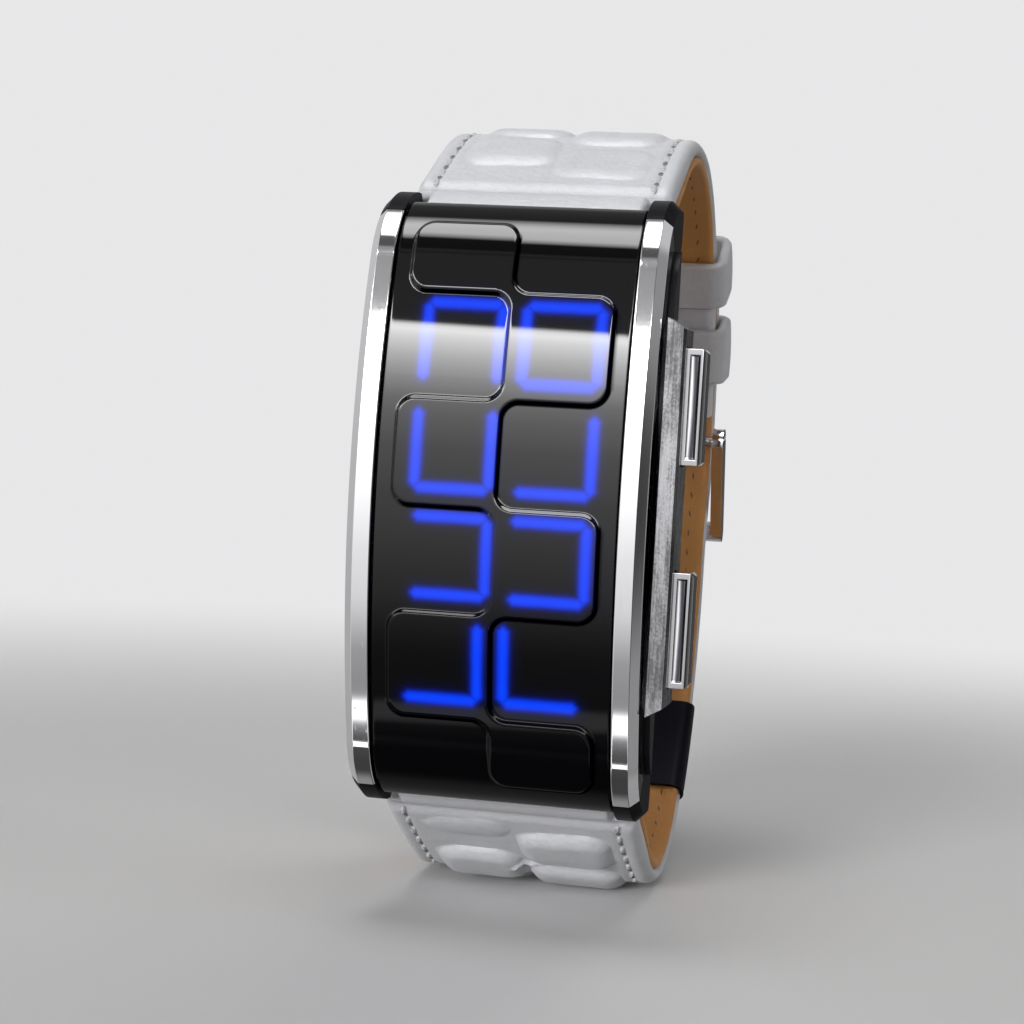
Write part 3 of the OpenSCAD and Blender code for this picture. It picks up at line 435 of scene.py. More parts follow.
def leather(name, colour, grain=1500.0, rough=0.46, shade_strength=0.6):
    """Leather with pores and soft stains, with painted shade where the shade mask attribute says."""
    f = Finish(name, colour, rough, Sheen_Weight=0.12, Sheen_Roughness=0.45)
    pores = f.cells(grain)
    fine = f.cloud(grain * 1.7, 5.0)
    stain = f.cloud(95.0, 4.0)
    speck = f.between(f.cloud(grain * 0.55, 6.0), 0.35, 0.7)
    crease = f.crease()
    base = f.blend(stain, tint(colour, 0.9), tint(colour, 1.06))
    base = f.blend(0.1 * speck, base, tint(colour, 0.6))
    # Painted shade: darker in the fold groove, the seam grooves and the gap between the pads.
    f.set("Base Color", f.blend(shade_strength * crease, base, tint(colour, 0.45)))
    f.set("Roughness", rough - 0.08 + 0.16 * fine + 0.1 * crease)
    f.relief(pores * 0.6 + fine, 0.0001, 0.5)
    return f.material


def thread(name, colour):
    """Twisted sewing thread."""
    f = Finish(name, colour, 0.6, Sheen_Weight=0.3)
    twist = f.add("ShaderNodeTexWave", {"bands_direction": "DIAGONAL"},
                  {"Vector": f.spot, "Scale": 1500.0, "Distortion": 2.0, "Detail": 2.0}, "Fac")
    # Painted shade: darker along the grooves of the twist.
    f.shade(twist, tint(colour, 0.55))
    f.relief(twist, 0.00003, 0.5)
    return f.material


def ground(name, z_mid):
    """Polished steel that was ground hollow round z_mid, with its reflection painted in: bright on the
    left, dark on the right.
    """
    f = Finish(name, (0.8, 0.8, 0.83), 0.12, 1.0)
    x, _, z = f.parts(f.spot)
    left, right = INLAY_X
    along = (z - z_mid * MM) * (1 / (INLAY_HALF * MM))
    across = (x - left * MM) * (1 / ((right - left) * MM))
    across = across + 0.1 * (f.cloud(500.0) - 0.5) + 0.118 * along * along
    lines = f.cloud(150.0, 4.0, f.stretch((30.0, 30.0, 1.0)))
    # Painted reflection: the base colour runs bright, dark, then greyer across the plate.
    f.set("Base Color", f.ramp(across + 0.1 * (lines - 0.5), [
        (0.0, (0.6, 0.6, 0.62)), (0.28, (0.8, 0.8, 0.83)), (0.42, (0.3, 0.3, 0.32)),
        (0.55, (0.08, 0.08, 0.09)), (0.8, (0.05, 0.05, 0.06)), (0.95, (0.3, 0.3, 0.31))]))
    f.relief(lines, 0.00001, 0.3)
    return f.material


def board(name, colour):
    """A circuit board with fine copper tracks under its green coat."""
    f = Finish(name, colour, 0.35)
    rows = (f.parts(f.spot)[2] * 900.0).math("FRACT")
    lanes = f.between(f.cells(700.0, "DISTANCE_TO_EDGE"), 0.03, 0.06)
    track = f.between(rows, 0.3, 0.36) * lanes
    f.shade(track, (0.16, 0.2, 0.08))
    f.set("Roughness", 0.3 + 0.2 * f.cloud(400.0))
    f.relief(track, 0.00004, 0.4)
    return f.material


def glowing(name, colour):
    """A moulded light bar that glows blue, with a faint haze."""
    f = Finish(name, colour, 0.3)
    haze = f.cloud(500.0, 2.0)
    f.set("Emission Color", f.blend(haze, (0.0, 0.02, 0.6), (0.02, 0.06, 1.0)))
    f.set("Emission Strength", 1.2)
    f.shade(haze, tint(colour, 0.6))
    return f.material


def lit_bars(settings):
    """The middle of each lit bar, in mm, and whether it lies flat."""
    bars = []
    for side, row, digit in DIGITS:
        mid_x = side * DIGIT_X + settings.digit_shift_x
        mid_z = row * DIGIT_Z + settings.digit_shift_z
        for (u, v), state in zip(BARS, LIT[digit]):
            shift = BOTTOM_SHIFT if row < 0 and v < 0 else 0.0
            if state == "1":
                bars.append((mid_x + u - shift, mid_z + v, u == 0.0))
    return bars


def crystal_finish(settings):
    """Black glass with the glow of the lit bars painted on its surface as soft blue strokes."""
    f = Finish("crystal", tuple(settings.crystal_colour), 0.035, IOR=1.5, Specular_IOR_Level=0.11,
               Coat_IOR=1.4, Coat_Roughness=0.03)
    x, _, z = f.parts(f.spot)
    x, z = x * (1 / MM), z * (1 / MM)
    nearest = None
    haze = f.cloud(350.0, 3.0)
    for at_x, at_z, flat in lit_bars(settings):
        a, b = (x - at_x).absolute(), (z - at_z).absolute()
        across, along, half = (b, a, FLAT_HALF) if flat else (a, b, UPRIGHT_HALF)
        beyond = (along - half + 0.5).most(0.0)
        away = ((across * across + beyond * beyond) ** 0.5) - settings.segment_half
        away = away.most((across + along - half - 0.12) * 0.72)
        nearest = away if nearest is None else nearest.least(away)
    # Painted glow: the crystal's own surface emits the soft blue of the lit bars under it.
    shown = f.add("ShaderNodeMapRange", None, {0: nearest + 0.14 * (haze - 0.5), 1: -1.0, 2: 2.0})
    glow = f.ramp(shown, [(0.15, (0.0, 0.056, 1.0)), (0.22, (0.0, 0.05, 0.98)),
                          (0.29, (0.0, 0.032, 0.72)), (0.35, (0.0, 0.012, 0.3)),
                          (0.41, (0.0, 0.003, 0.09)), (0.48, (0.0, 0.0006, 0.02)),
                          (0.62, (0.0, 0.0001, 0.004)), (0.85, (0.0, 0.0, 0.0))])
    f.set("Emission Color", glow)
    f.set("Emission Strength", 1.0)
    f.set("Roughness", 0.028 + 0.02 * f.cloud(60.0, 2.0))
    f.shade(haze, tint(f.colour, 0.7))
    f.set("Coat Weight", f.between(z, -15.0, 0.0) * 0.95 + 0.05)
    # Painted dark line: black diffuse takes over where the shade mask attribute says, beside the tiles'
    # right and lower edges.
    f.cover(f.crease(), "ShaderNodeBsdfDiffuse", (0.0, 0.0, 0.0))
    return f.material


# Mesh helpers
def linked(name, data):
    """A new object in the scene that shows a mesh, a lamp or a camera."""
    obj = bpy.data.objects.new(name, data)
    bpy.context.scene.collection.objects.link(obj)
    return obj


def shade_smooth(mesh, sharp):
    """Smooth shading up to a sharp angle, in degrees."""
    mesh.polygons.foreach_set("use_smooth", [True] * len(mesh.polygons))
    mesh.set_sharp_from_angle(angle=math.radians(sharp))


def new_piece(name, verts, faces, material, sharp, shade_values=None):
    """A finished mesh object: merged, closed and outward, with its painted shade attribute."""
    mesh = bpy.data.meshes.new(name)
    mesh.from_pydata([tuple(v) for v in verts], [], faces)
    if shade_values is not None:
        layer = mesh.attributes.new("crease", "FLOAT", "POINT")
        layer.data.foreach_set("value", shade_values)
    bm = bmesh.new()
    bm.from_mesh(mesh)
    bmesh.ops.remove_doubles(bm, verts=bm.verts, dist=0.000002)
    bmesh.ops.dissolve_degenerate(bm, edges=bm.edges, dist=0.000001)
    bmesh.ops.recalc_face_normals(bm, faces=bm.faces)
    bm.to_mesh(mesh)
    bm.free()
    shade_smooth(mesh, sharp)
    mesh.materials.append(material)
    return linked(name, mesh)


def bands(rings, size, count):
    """Faces of so many bands, each from one ring of points to the next."""
    return [[i * size + j, i * size + (j + 1) % size,
             (i + 1) % rings * size + (j + 1) % size, (i + 1) % rings * size + j]
            for i in range(count) for j in range(size)]


def pillow(name, rows, cols, point, material, sharp, crease=None):
    """Two sheets over one grid that share their border, as point(i, j, inner) places them."""
    verts, dips, index = [], [], {}
    for inner in (0, 1):
        for i in range(rows):
            for j in range(cols):
                border = i in (0, rows - 1) or j in (0, cols - 1)
                if inner and border:
                    index[1, i, j] = index[0, i, j]
                    continue
                index[inner, i, j] = len(verts)
                verts.append(point(i, j, inner))
                dips.append(crease(i, j) if crease and not inner else 0.0)
    faces = []
    for inner in (0, 1):
        for i in range(rows - 1):
            for j in range(cols - 1):
                ring = [index[inner, i, j], index[inner, i, j + 1],
                        index[inner, i + 1, j + 1], index[inner, i + 1, j]]
                faces.append(ring[::-1] if inner else ring)
    return new_piece(name, verts, faces, material, sharp, dips)


def wreath(name, ring, profile, point, material):
    """A closed ring of a closed profile, as point(place on ring, place on profile) says."""
    verts = [point(r, p) for r in ring for p in profile]
    faces = bands(len(ring), len(profile), len(ring))
    return new_piece(name, verts, faces, material, 60.0, [0.0] * len(verts))


def rounded(corners, radii, steps, hold):
    """A closed outline with round corners, with a point held close to each end of an arc."""
    out, n = [], len(corners)
    for i, (corner, r) in enumerate(zip(corners, radii)):
        c = Vector(corner)
        a = (Vector(corners[i - 1]) - c).normalized()
        b = (Vector(corners[(i + 1) % n]) - c).normalized()
        half = a.angle(b) / 2
        back = r / math.tan(half)
        mid = c + (a + b).normalized() * (r / math.sin(half))
        start, end = c + a * back - mid, c + b * back - mid
        out.append(mid + start + a * hold)
        turn = start.angle_signed(end)
        for k in range(steps + 1):
            out.append(mid + Matrix.Rotation(-turn * k / steps, 2) @ start)
        out.append(mid + end + b * hold)
    return [tuple(p) for p in out]


def spread(stops):
    """Numbers through [(value, step), ...]: each stretch is cut evenly near its step."""
    out = [stops[0][0]]
    for (a, step), (b, _) in zip(stops, stops[1:]):
        n = max(1, round(abs(b - a) / step))
        out += [a + (b - a) * (k + 1) / n for k in range(n)]
    return out


def filled(ring, step):
    """A closed ring of places with more of them where two are further apart than a step."""
    out = []
    for a, b in zip(ring, ring[1:] + ring[:1]):
        n = max(1, int(math.dist(a[:2], b[:2]) / step))
        out += [tuple(p + (q - p) * k / n for p, q in zip(a, b)) for k in range(n)]
    return out


def evaluated(obj, name):
    """A plain mesh object with obj's modifiers worked in. obj itself goes."""
    graph = bpy.context.evaluated_depsgraph_get()
    graph.update()
    mesh = bpy.data.meshes.new_from_object(obj.evaluated_get(graph))
    bpy.data.objects.remove(obj)
    mesh.name = name
    return linked(name, mesh)


def carve(obj, cutters):
    """Cuts the closed cutter meshes out of obj and returns the new object."""
    name, material = obj.name, obj.data.materials[0]
    obj.name = name + "_whole"
    for cutter in cutters:
        step = obj.modifiers.new("cut", "BOOLEAN")
        step.operation, step.solver, step.object = "DIFFERENCE", "EXACT", cutter
    made = evaluated(obj, name)
    for cutter in cutters:
        bpy.data.objects.remove(cutter)
    made.data.materials.clear()
    made.data.materials.append(material)
    made.data.polygons.foreach_set("material_index", [0] * len(made.data.polygons))
    shade_smooth(made.data, 40.0)
    return made


def softened(node, name, material, width, angle=25.0):
    """A copy of a CAD node with small round edges, to stand for it."""
    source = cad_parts[node]
    bm = bmesh.new()
    bm.from_mesh(source.data)
    bm.transform(source.matrix_world)
    bmesh.ops.remove_doubles(bm, verts=bm.verts, dist=0.0000015)
    bmesh.ops.dissolve_limit(bm, angle_limit=math.radians(0.6), verts=bm.verts, edges=bm.edges)
    sharp = [e for e in bm.edges if len(e.link_faces) == 2
             and e.calc_face_angle(0.0) > math.radians(angle)]
    bmesh.ops.bevel(bm, geom=sharp, offset=width * MM, offset_type="OFFSET", segments=3,
                    profile=0.5, affect="EDGES", clamp_overlap=True)
    bmesh.ops.recalc_face_normals(bm, faces=bm.faces)
    bmesh.ops.triangulate(bm, faces=[f for f in bm.faces if len(f.verts) > 4])
    mesh = bpy.data.meshes.new(name)
    bm.to_mesh(mesh)
    bm.free()
    shade_smooth(mesh, 50.0)
    mesh.materials.append(material)
    obj = linked(name + "_whole", mesh)
    even = obj.modifiers.new("even", "WEIGHTED_NORMAL")
    even.weight, even.keep_sharp = 90, True
    return evaluated(obj, name)


def declare(piece, slot, body, *nodes):
    """Hides the CAD nodes that a piece stands for and puts the piece under its body. The slot is not
    used.
    """
    if nodes:
        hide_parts(*nodes)
    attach(piece, body)


def finish_node(material, *nodes):
    """Gives CAD nodes a finish through their material slots."""
    for node in nodes:
        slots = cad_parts[node].data.materials
        slots.clear()
        slots.append(material)


# Case, rails and crystal
def curve_point(s):
    """Place and outward direction at arc length s from the middle of the front, in mm."""
    half = FRONT_R * TURN_A
    side, s = math.copysign(1, s), abs(s)
    if s <= half:
        a = s / FRONT_R
        y, z = FRONT_CY - FRONT_R * math.cos(a), FRONT_R * math.sin(a)
    else:
        a = TURN_A + (s - half) / END_R
        y, z = END_Y - END_R * math.cos(a), END_CZ + END_R * math.sin(a)
    return y, side * z, -math.cos(a), side * math.sin(a)


def curve_at(x, depth, s):
    y, z, ny, nz = curve_point(s)
    return Vector((x, y - depth * ny, z - depth * nz)) * MM


def arc_to(angle):
    """Arc length from the middle of the front to an angle on an end arc."""
    return FRONT_R * TURN_A + (angle - TURN_A) * END_R


def arc_of(z):
    """Arc length of the place at height z."""
    if abs(z) <= FRONT_R * math.sin(TURN_A):
        return FRONT_R * math.asin(z / FRONT_R)
    a = math.asin(min(1.0, (abs(z) - END_CZ) / END_R))
    return math.copysign(arc_to(a), z)


def box_away(x, z, cx, cz, hx, hz, r):
    """Distance outside a rectangle with round corners, negative inside."""
    dx, dz = abs(x - cx) - hx + r, abs(z - cz) - hz + r
    return math.hypot(max(dx, 0), max(dz, 0)) + min(max(dx, dz), 0) - r


def tile_away(x, z):
    """Distance outside the zigzag chain of raised tiles, negative inside."""
    best = min(box_away(x, z, side * TILE_X / 2, mid, TILE_X / 2, half, TILE_CORNER)
               for side, mid, half in TILES)
    for k, joint in enumerate(TILE_ENDS[1:-1]):
        neck = max(abs(x), abs(z - joint)) - TILE_NECK
        if neck < best:
            for side, mid, half in TILES[k:k + 2]:
                beside = box_away(x, z, -side * RAIL_X / 2, mid, RAIL_X / 2, half, TILE_CORNER)
                neck = max(neck, -beside)
            best = min(best, neck)
    return best


def tile_shadow(x, z):
    """The painted dark line beside a raised tile, on its right and its lower side, where its edge would
    show a dark reflection.
    """
    away = tile_away(x, z)
    if not -0.3 < away < 0.7:
        return 0.0
    step = 0.02
    dx = (tile_away(x + step, z) - tile_away(x - step, z)) / (2 * step)
    dz = (tile_away(x, z + step) - tile_away(x, z - step)) / (2 * step)
    return smooth(dx - dz, 0.1, 0.8) * smooth(away, -0.16, -0.02) * smooth(away, 0.38, 0.25)


def make_crystal(name, settings, material):
    """The curved plate with its chain of raised tiles, on a grid that is fine at the edges."""
    fine, wide = 0.115, 0.6
    edge, end = LENS_X, arc_to(LENS_END_A)
    right = spread([(0, fine), (2.1, 0.3), (2.6, wide), (7.2, 0.3), (7.6, fine), (9.5, 0.25),
                    (edge - 0.3, 0.1), (edge - 0.1, 0.05), (edge, 0.1)])
    xs = [-x for x in right[:0:-1]] + right
    stops = [(-end, 0.05), (-end + 0.1, 0.1), (-end + 0.3, 0.2)]
    for z in TILE_ENDS:
        below, above = 0.6 if z < -20 else 2.0, 0.6 if z > 20 else 2.0
        stops += [(arc_of(z - below), fine), (arc_of(z + above), wide)]
    rows = spread(stops + [(end - 0.3, 0.1), (end - 0.1, 0.05), (end, 0.1)])
    rise = settings.tile_rise / MM
    low = rise + 0.02
    places = [curve_point(s) for s in rows]

    def point(i, j, inner):
        x, s = xs[j], rows[i]
        y, z, ny, nz = places[i]
        near = min(edge - abs(x), end - abs(s))
        round_in = LENS_ROUND * (1 - round_edge(near / LENS_ROUND))
        if inner:
            depth = LENS_T - round_in
        elif near <= 0:
            depth = low + 0.6
        else:
            depth = low + round_in - rise * smooth(-tile_away(x, z), -0.22, 0.2)
        return Vector((x, y - depth * ny, z - depth * nz)) * MM

    return pillow(name, len(rows), len(xs), point, material, 75.0,
                  lambda i, j: tile_shadow(xs[j], places[i][1]))


def make_rail(name, side, material):
    """A rail: bevelled outside, its edges just broken, swept along the case's curve."""
    outline = rounded([(RAIL_IN + 0.02, RAIL_D), (RAIL_IN + 0.02, 0.0), (RAIL_X - 0.8, 0.0),
                       (RAIL_X, 0.8), (RAIL_X, RAIL_D)],
                      [0.1, 0.16, 0.12, 0.12, 0.1], 3, 0.03)
    end = arc_to(RAIL_END_A)
    rows = spread([(-end, 0.05), (-end + 0.1, 0.2), (-FRONT_R * TURN_A, 0.5),
                   (FRONT_R * TURN_A, 0.2), (end - 0.1, 0.05), (end, 1)])
    verts = []
    for s in rows:
        shrink = 0.1 * (1 - min(1.0, (end - abs(s)) / 0.1))
        for x, depth in outline:
            x = x + shrink * (1 if x < 12 else -1)
            depth = depth + shrink * (1 if depth < 1.5 else -1)
            verts.append(curve_at(side * x, depth, s))
    n = len(outline)
    faces = bands(len(rows), n, len(rows) - 1)
    faces += [list(range(n))[::-1], list(range(len(verts) - n, len(verts)))]
    return new_piece(name, verts, faces, material, 35.0)


def make_inlay(name, z, material):
    """The hollow-ground plate that is set in a pusher's sunk front."""
    (x0, x1), half = INLAY_X, INLAY_HALF
    xs = [x0 + (x1 - x0) * i / 10 for i in range(11)]
    zs = spread([(z - half, 0.05), (z - half + 0.15, 0.3), (z + half - 0.15, 0.05), (z + half, 1)])

    def point(i, j, inner):
        x, up = xs[j], zs[i]
        u = (x - x0) / (x1 - x0) * 2 - 1
        lip = smooth(min(1 - abs(u), (half - abs(up - z)) / 0.3) / 0.2)
        depth = 0.18 if inner else 0.12 * (1 - u * u) * lip + 0.01
        return Vector((x, INLAY_Y + depth, up)) * MM

    return pillow(name, len(zs), len(xs), point, material, 50.0)


# Strap
def strap_t(s):
    """The strap's thickness: it thins away from the case."""
    return FULL_T - (FULL_T - THIN_T) * min(max((s - 12) / 14, 0.0), 1.0)


def pad_layout(lower):
    """Rows of pads as (column, from, to, height), in two staggered columns."""
    if lower:
        left = [(5.0, 9.6, 0.4), (13.0, 21.6, 1.25), (22.4, 30.4, 0.9), (31.4, 38.6, 0.7)]
        right = [(7.0, 15.6, 1.2), (16.2, 24.6, 1.15), (25.6, 33.4, 0.8), (34.4, 39.4, 0.5)]
    else:
        left = [(9.0, 17.4, 0.6), (18.4, 26.4, 0.75), (27.4, 35.2, 0.8), (36.2, 41.0, 0.5)]
        right = [(6.4, 14.6, 0.4), (15.6, 24.2, 0.7), (25.2, 33.0, 0.8), (34.0, 40.0, 0.6)]
    return [(-1, *row) for row in left] + [(1, *row) for row in right]


def swell(away, width):
    """How far a cushion has risen at a distance from its edge, steep at first."""
    u = min(max(away / width, 0.0), 1.0)
    return (u * u / (u * u + 0.004)) * math.sin(math.pi / 2 * u) ** 0.75


def pad_rise(pads, x, s):
    """Height of the pads at a place: steep soft flanks and a crowned top."""
    total = 0.0
    for side, a, b, high in pads:
        x0, x1 = (-8.9, -0.15) if side < 0 else (-0.05, 9.2)
        if not (x0 < x < x1 and a < s < b):
            continue
        lean = 0.25 * math.sin(x * 0.45 + a)
        front, back = s - a - lean * smooth(s, a + 4, a), b - s
        dx, ds, r = min(x - x0, x1 - x), min(front, back * 0.9), 2.6
        near = r - math.hypot(r - dx, r - ds) if dx < r and ds < r else min(dx, ds)
        corner = swell(near, 1.8)
        crown = 1 - 0.3 * ((s - (a * 0.65 + b * 0.35)) / (b - a) * 1.5) ** 2
        total = max(total, high * corner * crown)
    return total


class StrapForm:
    """Where the white leather of one strap half lies: its outside, inside and width."""

    def __init__(self, route, settings):
        self.route, self.lower = route, route.side < 0
        self.pads = pad_layout(self.lower)
        self.half = settings.strap_width / MM / 2
        self.raise_by = settings.pad_height
        self.seam_x = self.half - settings.seam_inset / MM
        self.end = route.total()

    def width(self, s):
        w = NECK_HALF + (self.half - NECK_HALF) * smooth(s, 2.55, 3.35)
        if self.lower:
            return min(w, TAIL_R * round_edge((self.end - s) / TAIL_R))
        return w - (self.half - NARROW_HALF) * smooth(s, self.end - 2.9, self.end - 1.9)

    def roll(self, s):
        """The fold round the strap bar and the groove behind it."""
        if s < 0:
            return FOLD_R * math.sqrt(max(0.0, 1 - (s / FOLD_R) ** 2))
        bulge = FOLD_R + 0.13 * math.sin(min(s / 2.6, 1.0) * math.pi)
        return bulge - 0.42 * smooth(s, 2.3, 3.25)

    def taper(self, s):
        """Half thickness that closes the far end."""
        d = self.end - s
        if self.lower:
            return THIN_T / 2 * round_edge(d / END_ROUND)
        nose = math.sqrt(max(0.0, NOSE_R ** 2 - d ** 2))
        return nose if d < 0 else max(nose, 0.99 + 0.11 * smooth(d, 1.9, 2.9))

    def outer(self, x, s):
        base = self.roll(min(s, FOLD_END))
        base += (strap_t(s) / 2 - 0.16 - base) * smooth(s, FOLD_END, 5.2)
        base = min(base, self.taper(s)) if s > self.end - 4 else base
        if s > 4:
            ease = smooth(s, 4, 6)
            base -= 0.17 * bell(abs(x) - self.seam_x, 0.34) * ease * self.fade(s)
            base += self.raise_by * pad_rise(self.pads, x, s)
        if 3.3 < s < self.end - 6:
            base += 0.05 * noise.noise(Vector((x * 0.3, s * 0.25, 3.0 + self.route.side)))
        if self.lower:
            ridge = bell(s - 16.1 - 0.25 * math.sin(3 * x), 0.3)
            base += 0.42 * ridge * smooth(x, -1.7, -0.8) * smooth(x, 2.6, 1.6)
        return base

    def fade(self, s):
        return 1 - smooth(s, self.end - 8, self.end - 5)

    def inner(self, s):
        fold = -self.roll(s) if s < FOLD_END else -FOLD_R
        lined = -strap_t(s) / 2 + LINING_T + 0.02
        t = fold + (lined - fold) * smooth(s, LINING_FROM - 0.35, LINING_FROM - 0.05)
        if not self.lower:
            t += (-strap_t(s) / 2 - t) * smooth(s, FLAP_S - 0.2, FLAP_S + 0.05)
            if s > self.end - 4:
                t = max(t, -self.taper(s))
        elif s > self.end - 1.2:
            t = max(t, -self.taper(s) + LINING_T * min(1.0, (self.end - s) / END_ROUND))
        return t

    def crease(self, x, s):
        """How much painted shade a place gets in the fold groove, the seam grooves and the gap between
        the pad columns, for the leather's colour.
        """
        if s < 2.4 or s > self.end - 5:
            return 0.0
        fold = 0.55 * bell(s - 3.3, 0.4)
        seam = 0.35 * bell(abs(x) - self.seam_x, 0.25)
        gap = 0.12 * (1 - smooth(abs(x + 0.08), 0.05, 0.5)) if s < 40 else 0.0
        return min(1.0, fold + seam + gap)


def strap_columns(inset):
    """Places over the strap's width as shares of its half width, fine near the edges."""
    rim = closing(1.0, inset)
    flat = spread([(0.0, 0.02), (rim[0], 1)])[:-1]
    right = flat + rim
    return [-x for x in right[:0:-1]] + right


def make_leather(name, form, material):
    """The white leather of a strap half, with its fold, pads, seam grooves and closed ends."""
    shares = strap_columns(LEATHER_RIM)
    nose = [FOLD_R * -math.cos(a * math.pi / 16) for a in range(8)]
    body = [(0, 0.28), (2.2, 0.14), (5.4, 0.17), (26, 0.25)]
    if form.lower:
        body += [(40, 0.5), (form.end - 6, 0.22), (form.end - END_ROUND, 1)]
        tail = closing(form.end, END_ROUND)
    else:
        body += [(42, 0.5), (FLAP_S - 0.3, 0.1), (FLAP_S + 0.2, 0.5), (form.end - 3.2, 0.12),
                 (form.end - 1.6, 0.3), (form.end, 1)]
        tail = [form.end + NOSE_R * math.sin(a * math.pi / 16) for a in range(9)]
    rows = nose + spread(body)[:-1] + tail
    places, widths = [form.route.at(s) for s in rows], [form.width(s) for s in rows]

    def point(i, j, inner):
        x, s = shares[j] * widths[i], rows[i]
        top, low = form.outer(x, s), form.inner(s)
        full = round_edge((widths[i] - abs(x)) / max(LEATHER_RIM * widths[i], 0.001))
        middle = (top + low) / 2
        t = low if inner else top
        return form.route.place(x, middle + (t - middle) * full, s, places[i])

    return pillow(name, len(rows), len(shares), point, material, 70.0,
                  lambda i, j: form.crease(shares[j] * widths[i], rows[i]))


def make_lining(name, form, s_to, material):
    """The tan lining on the wrist side of a strap half."""
    shares = sorted(set(strap_columns(LINING_RIM)[::2] + [-1.0, 1.0]))
    rows = spread([(LINING_FROM + 0.03, 0.06), (LINING_FROM + 0.3, 0.5), (s_to - 6, 0.25),
                   (s_to - 0.3, 0.06), (s_to, 1)])
    places = [form.route.at(s) for s in rows]

    def point(i, j, inner):
        s = rows[i]
        w = max(0.0, form.width(s) - 0.16)
        x = shares[j] * w
        rim = (w - abs(x)) / max(LINING_RIM * w, 0.001)
        full = round_edge(min(rim, (s - rows[0]) / 0.3, (rows[-1] - s) / 0.3))
        dent = 0.1 * bell(abs(x) - form.seam_x, 0.3)
        wave = 0.04 * noise.noise(Vector((x * 0.4, s * 0.35, 20.0)))
        rise = dent + wave - LINING_T / 2 if inner else LINING_T / 2
        return form.route.place(x, (LINING_T - strap_t(s)) / 2 + rise * full, s, places[i])

    return pillow(name, len(rows), len(shares), point, material, 60.0)


def make_loop(name, route, s_mid, length, x_half, t_from, t_to, thick, material, crown=0.12):
    """A flat leather or rubber loop round the strap: a crowned strip, closed on itself."""
    corner = 1.2
    mid, high = (t_from + t_to) / 2, (t_to - t_from) / 2
    ring = []
    for side, way in ((1, 1), (1, -1), (-1, 1), (-1, -1)):
        for k in range(9):
            nx, nt = side * math.cos(math.pi / 16 * k), way * math.sin(math.pi / 16 * k)
            ring.append((side * (x_half - corner) + corner * nx,
                         mid + way * (high - corner) + corner * nt, nx, nt))
    ring.sort(key=lambda at: math.atan2(at[1] - mid, at[0] * high / x_half))
    h, r = thick / 2, thick * 0.42
    profile = rounded([(-length / 2, -h), (length / 2, -h), (length / 2, h), (-length / 2, h)],
                      [r] * 4, 4, 0.04)

    def point(at, place):
        x, t, nx, nt = at
        s, out = place
        out += crown * (1 - (2 * s / length) ** 2) * (1 if out > 0 else 0)
        return route.place(x + nx * out, t + nt * out, s_mid + s)

    return wreath(name, filled(ring, 0.8), filled(profile, 0.5), point, material)


def slot_cutter(centre, size):
    """A block with round upright edges that cuts a slot, in mm."""
    bm = bmesh.new()
    bmesh.ops.create_cube(bm, size=1.0)
    bmesh.ops.scale(bm, vec=Vector(size) * MM, verts=bm.verts)
    upright = [e for e in bm.edges if abs((e.verts[0].co - e.verts[1].co).z) > 1e-6]
    bmesh.ops.bevel(bm, geom=upright, offset=0.4 * MM, segments=5, profile=0.5, affect="EDGES")
    bm.transform(Matrix.Translation(Vector(centre) * MM))
    return cutter_object(bm)


def hole_cutter(route, s):
    """A round cutter through the strap at s."""
    bm = bmesh.new()
    bmesh.ops.create_cone(bm, cap_ends=True, segments=40, radius1=HOLE_R * MM, radius2=HOLE_R * MM,
                          depth=8 * MM)
    y, z, heading = route.at(s)
    bm.transform(Matrix.Translation(Vector((0, y, z)) * MM) @ Matrix.Rotation(heading, 4, "X"))
    return cutter_object(bm)


def cutter_object(bm):
    mesh = bpy.data.meshes.new("cutter")
    bmesh.ops.recalc_face_normals(bm, faces=bm.faces)
    bm.to_mesh(mesh)
    bm.free()
    return linked("cutter", mesh)


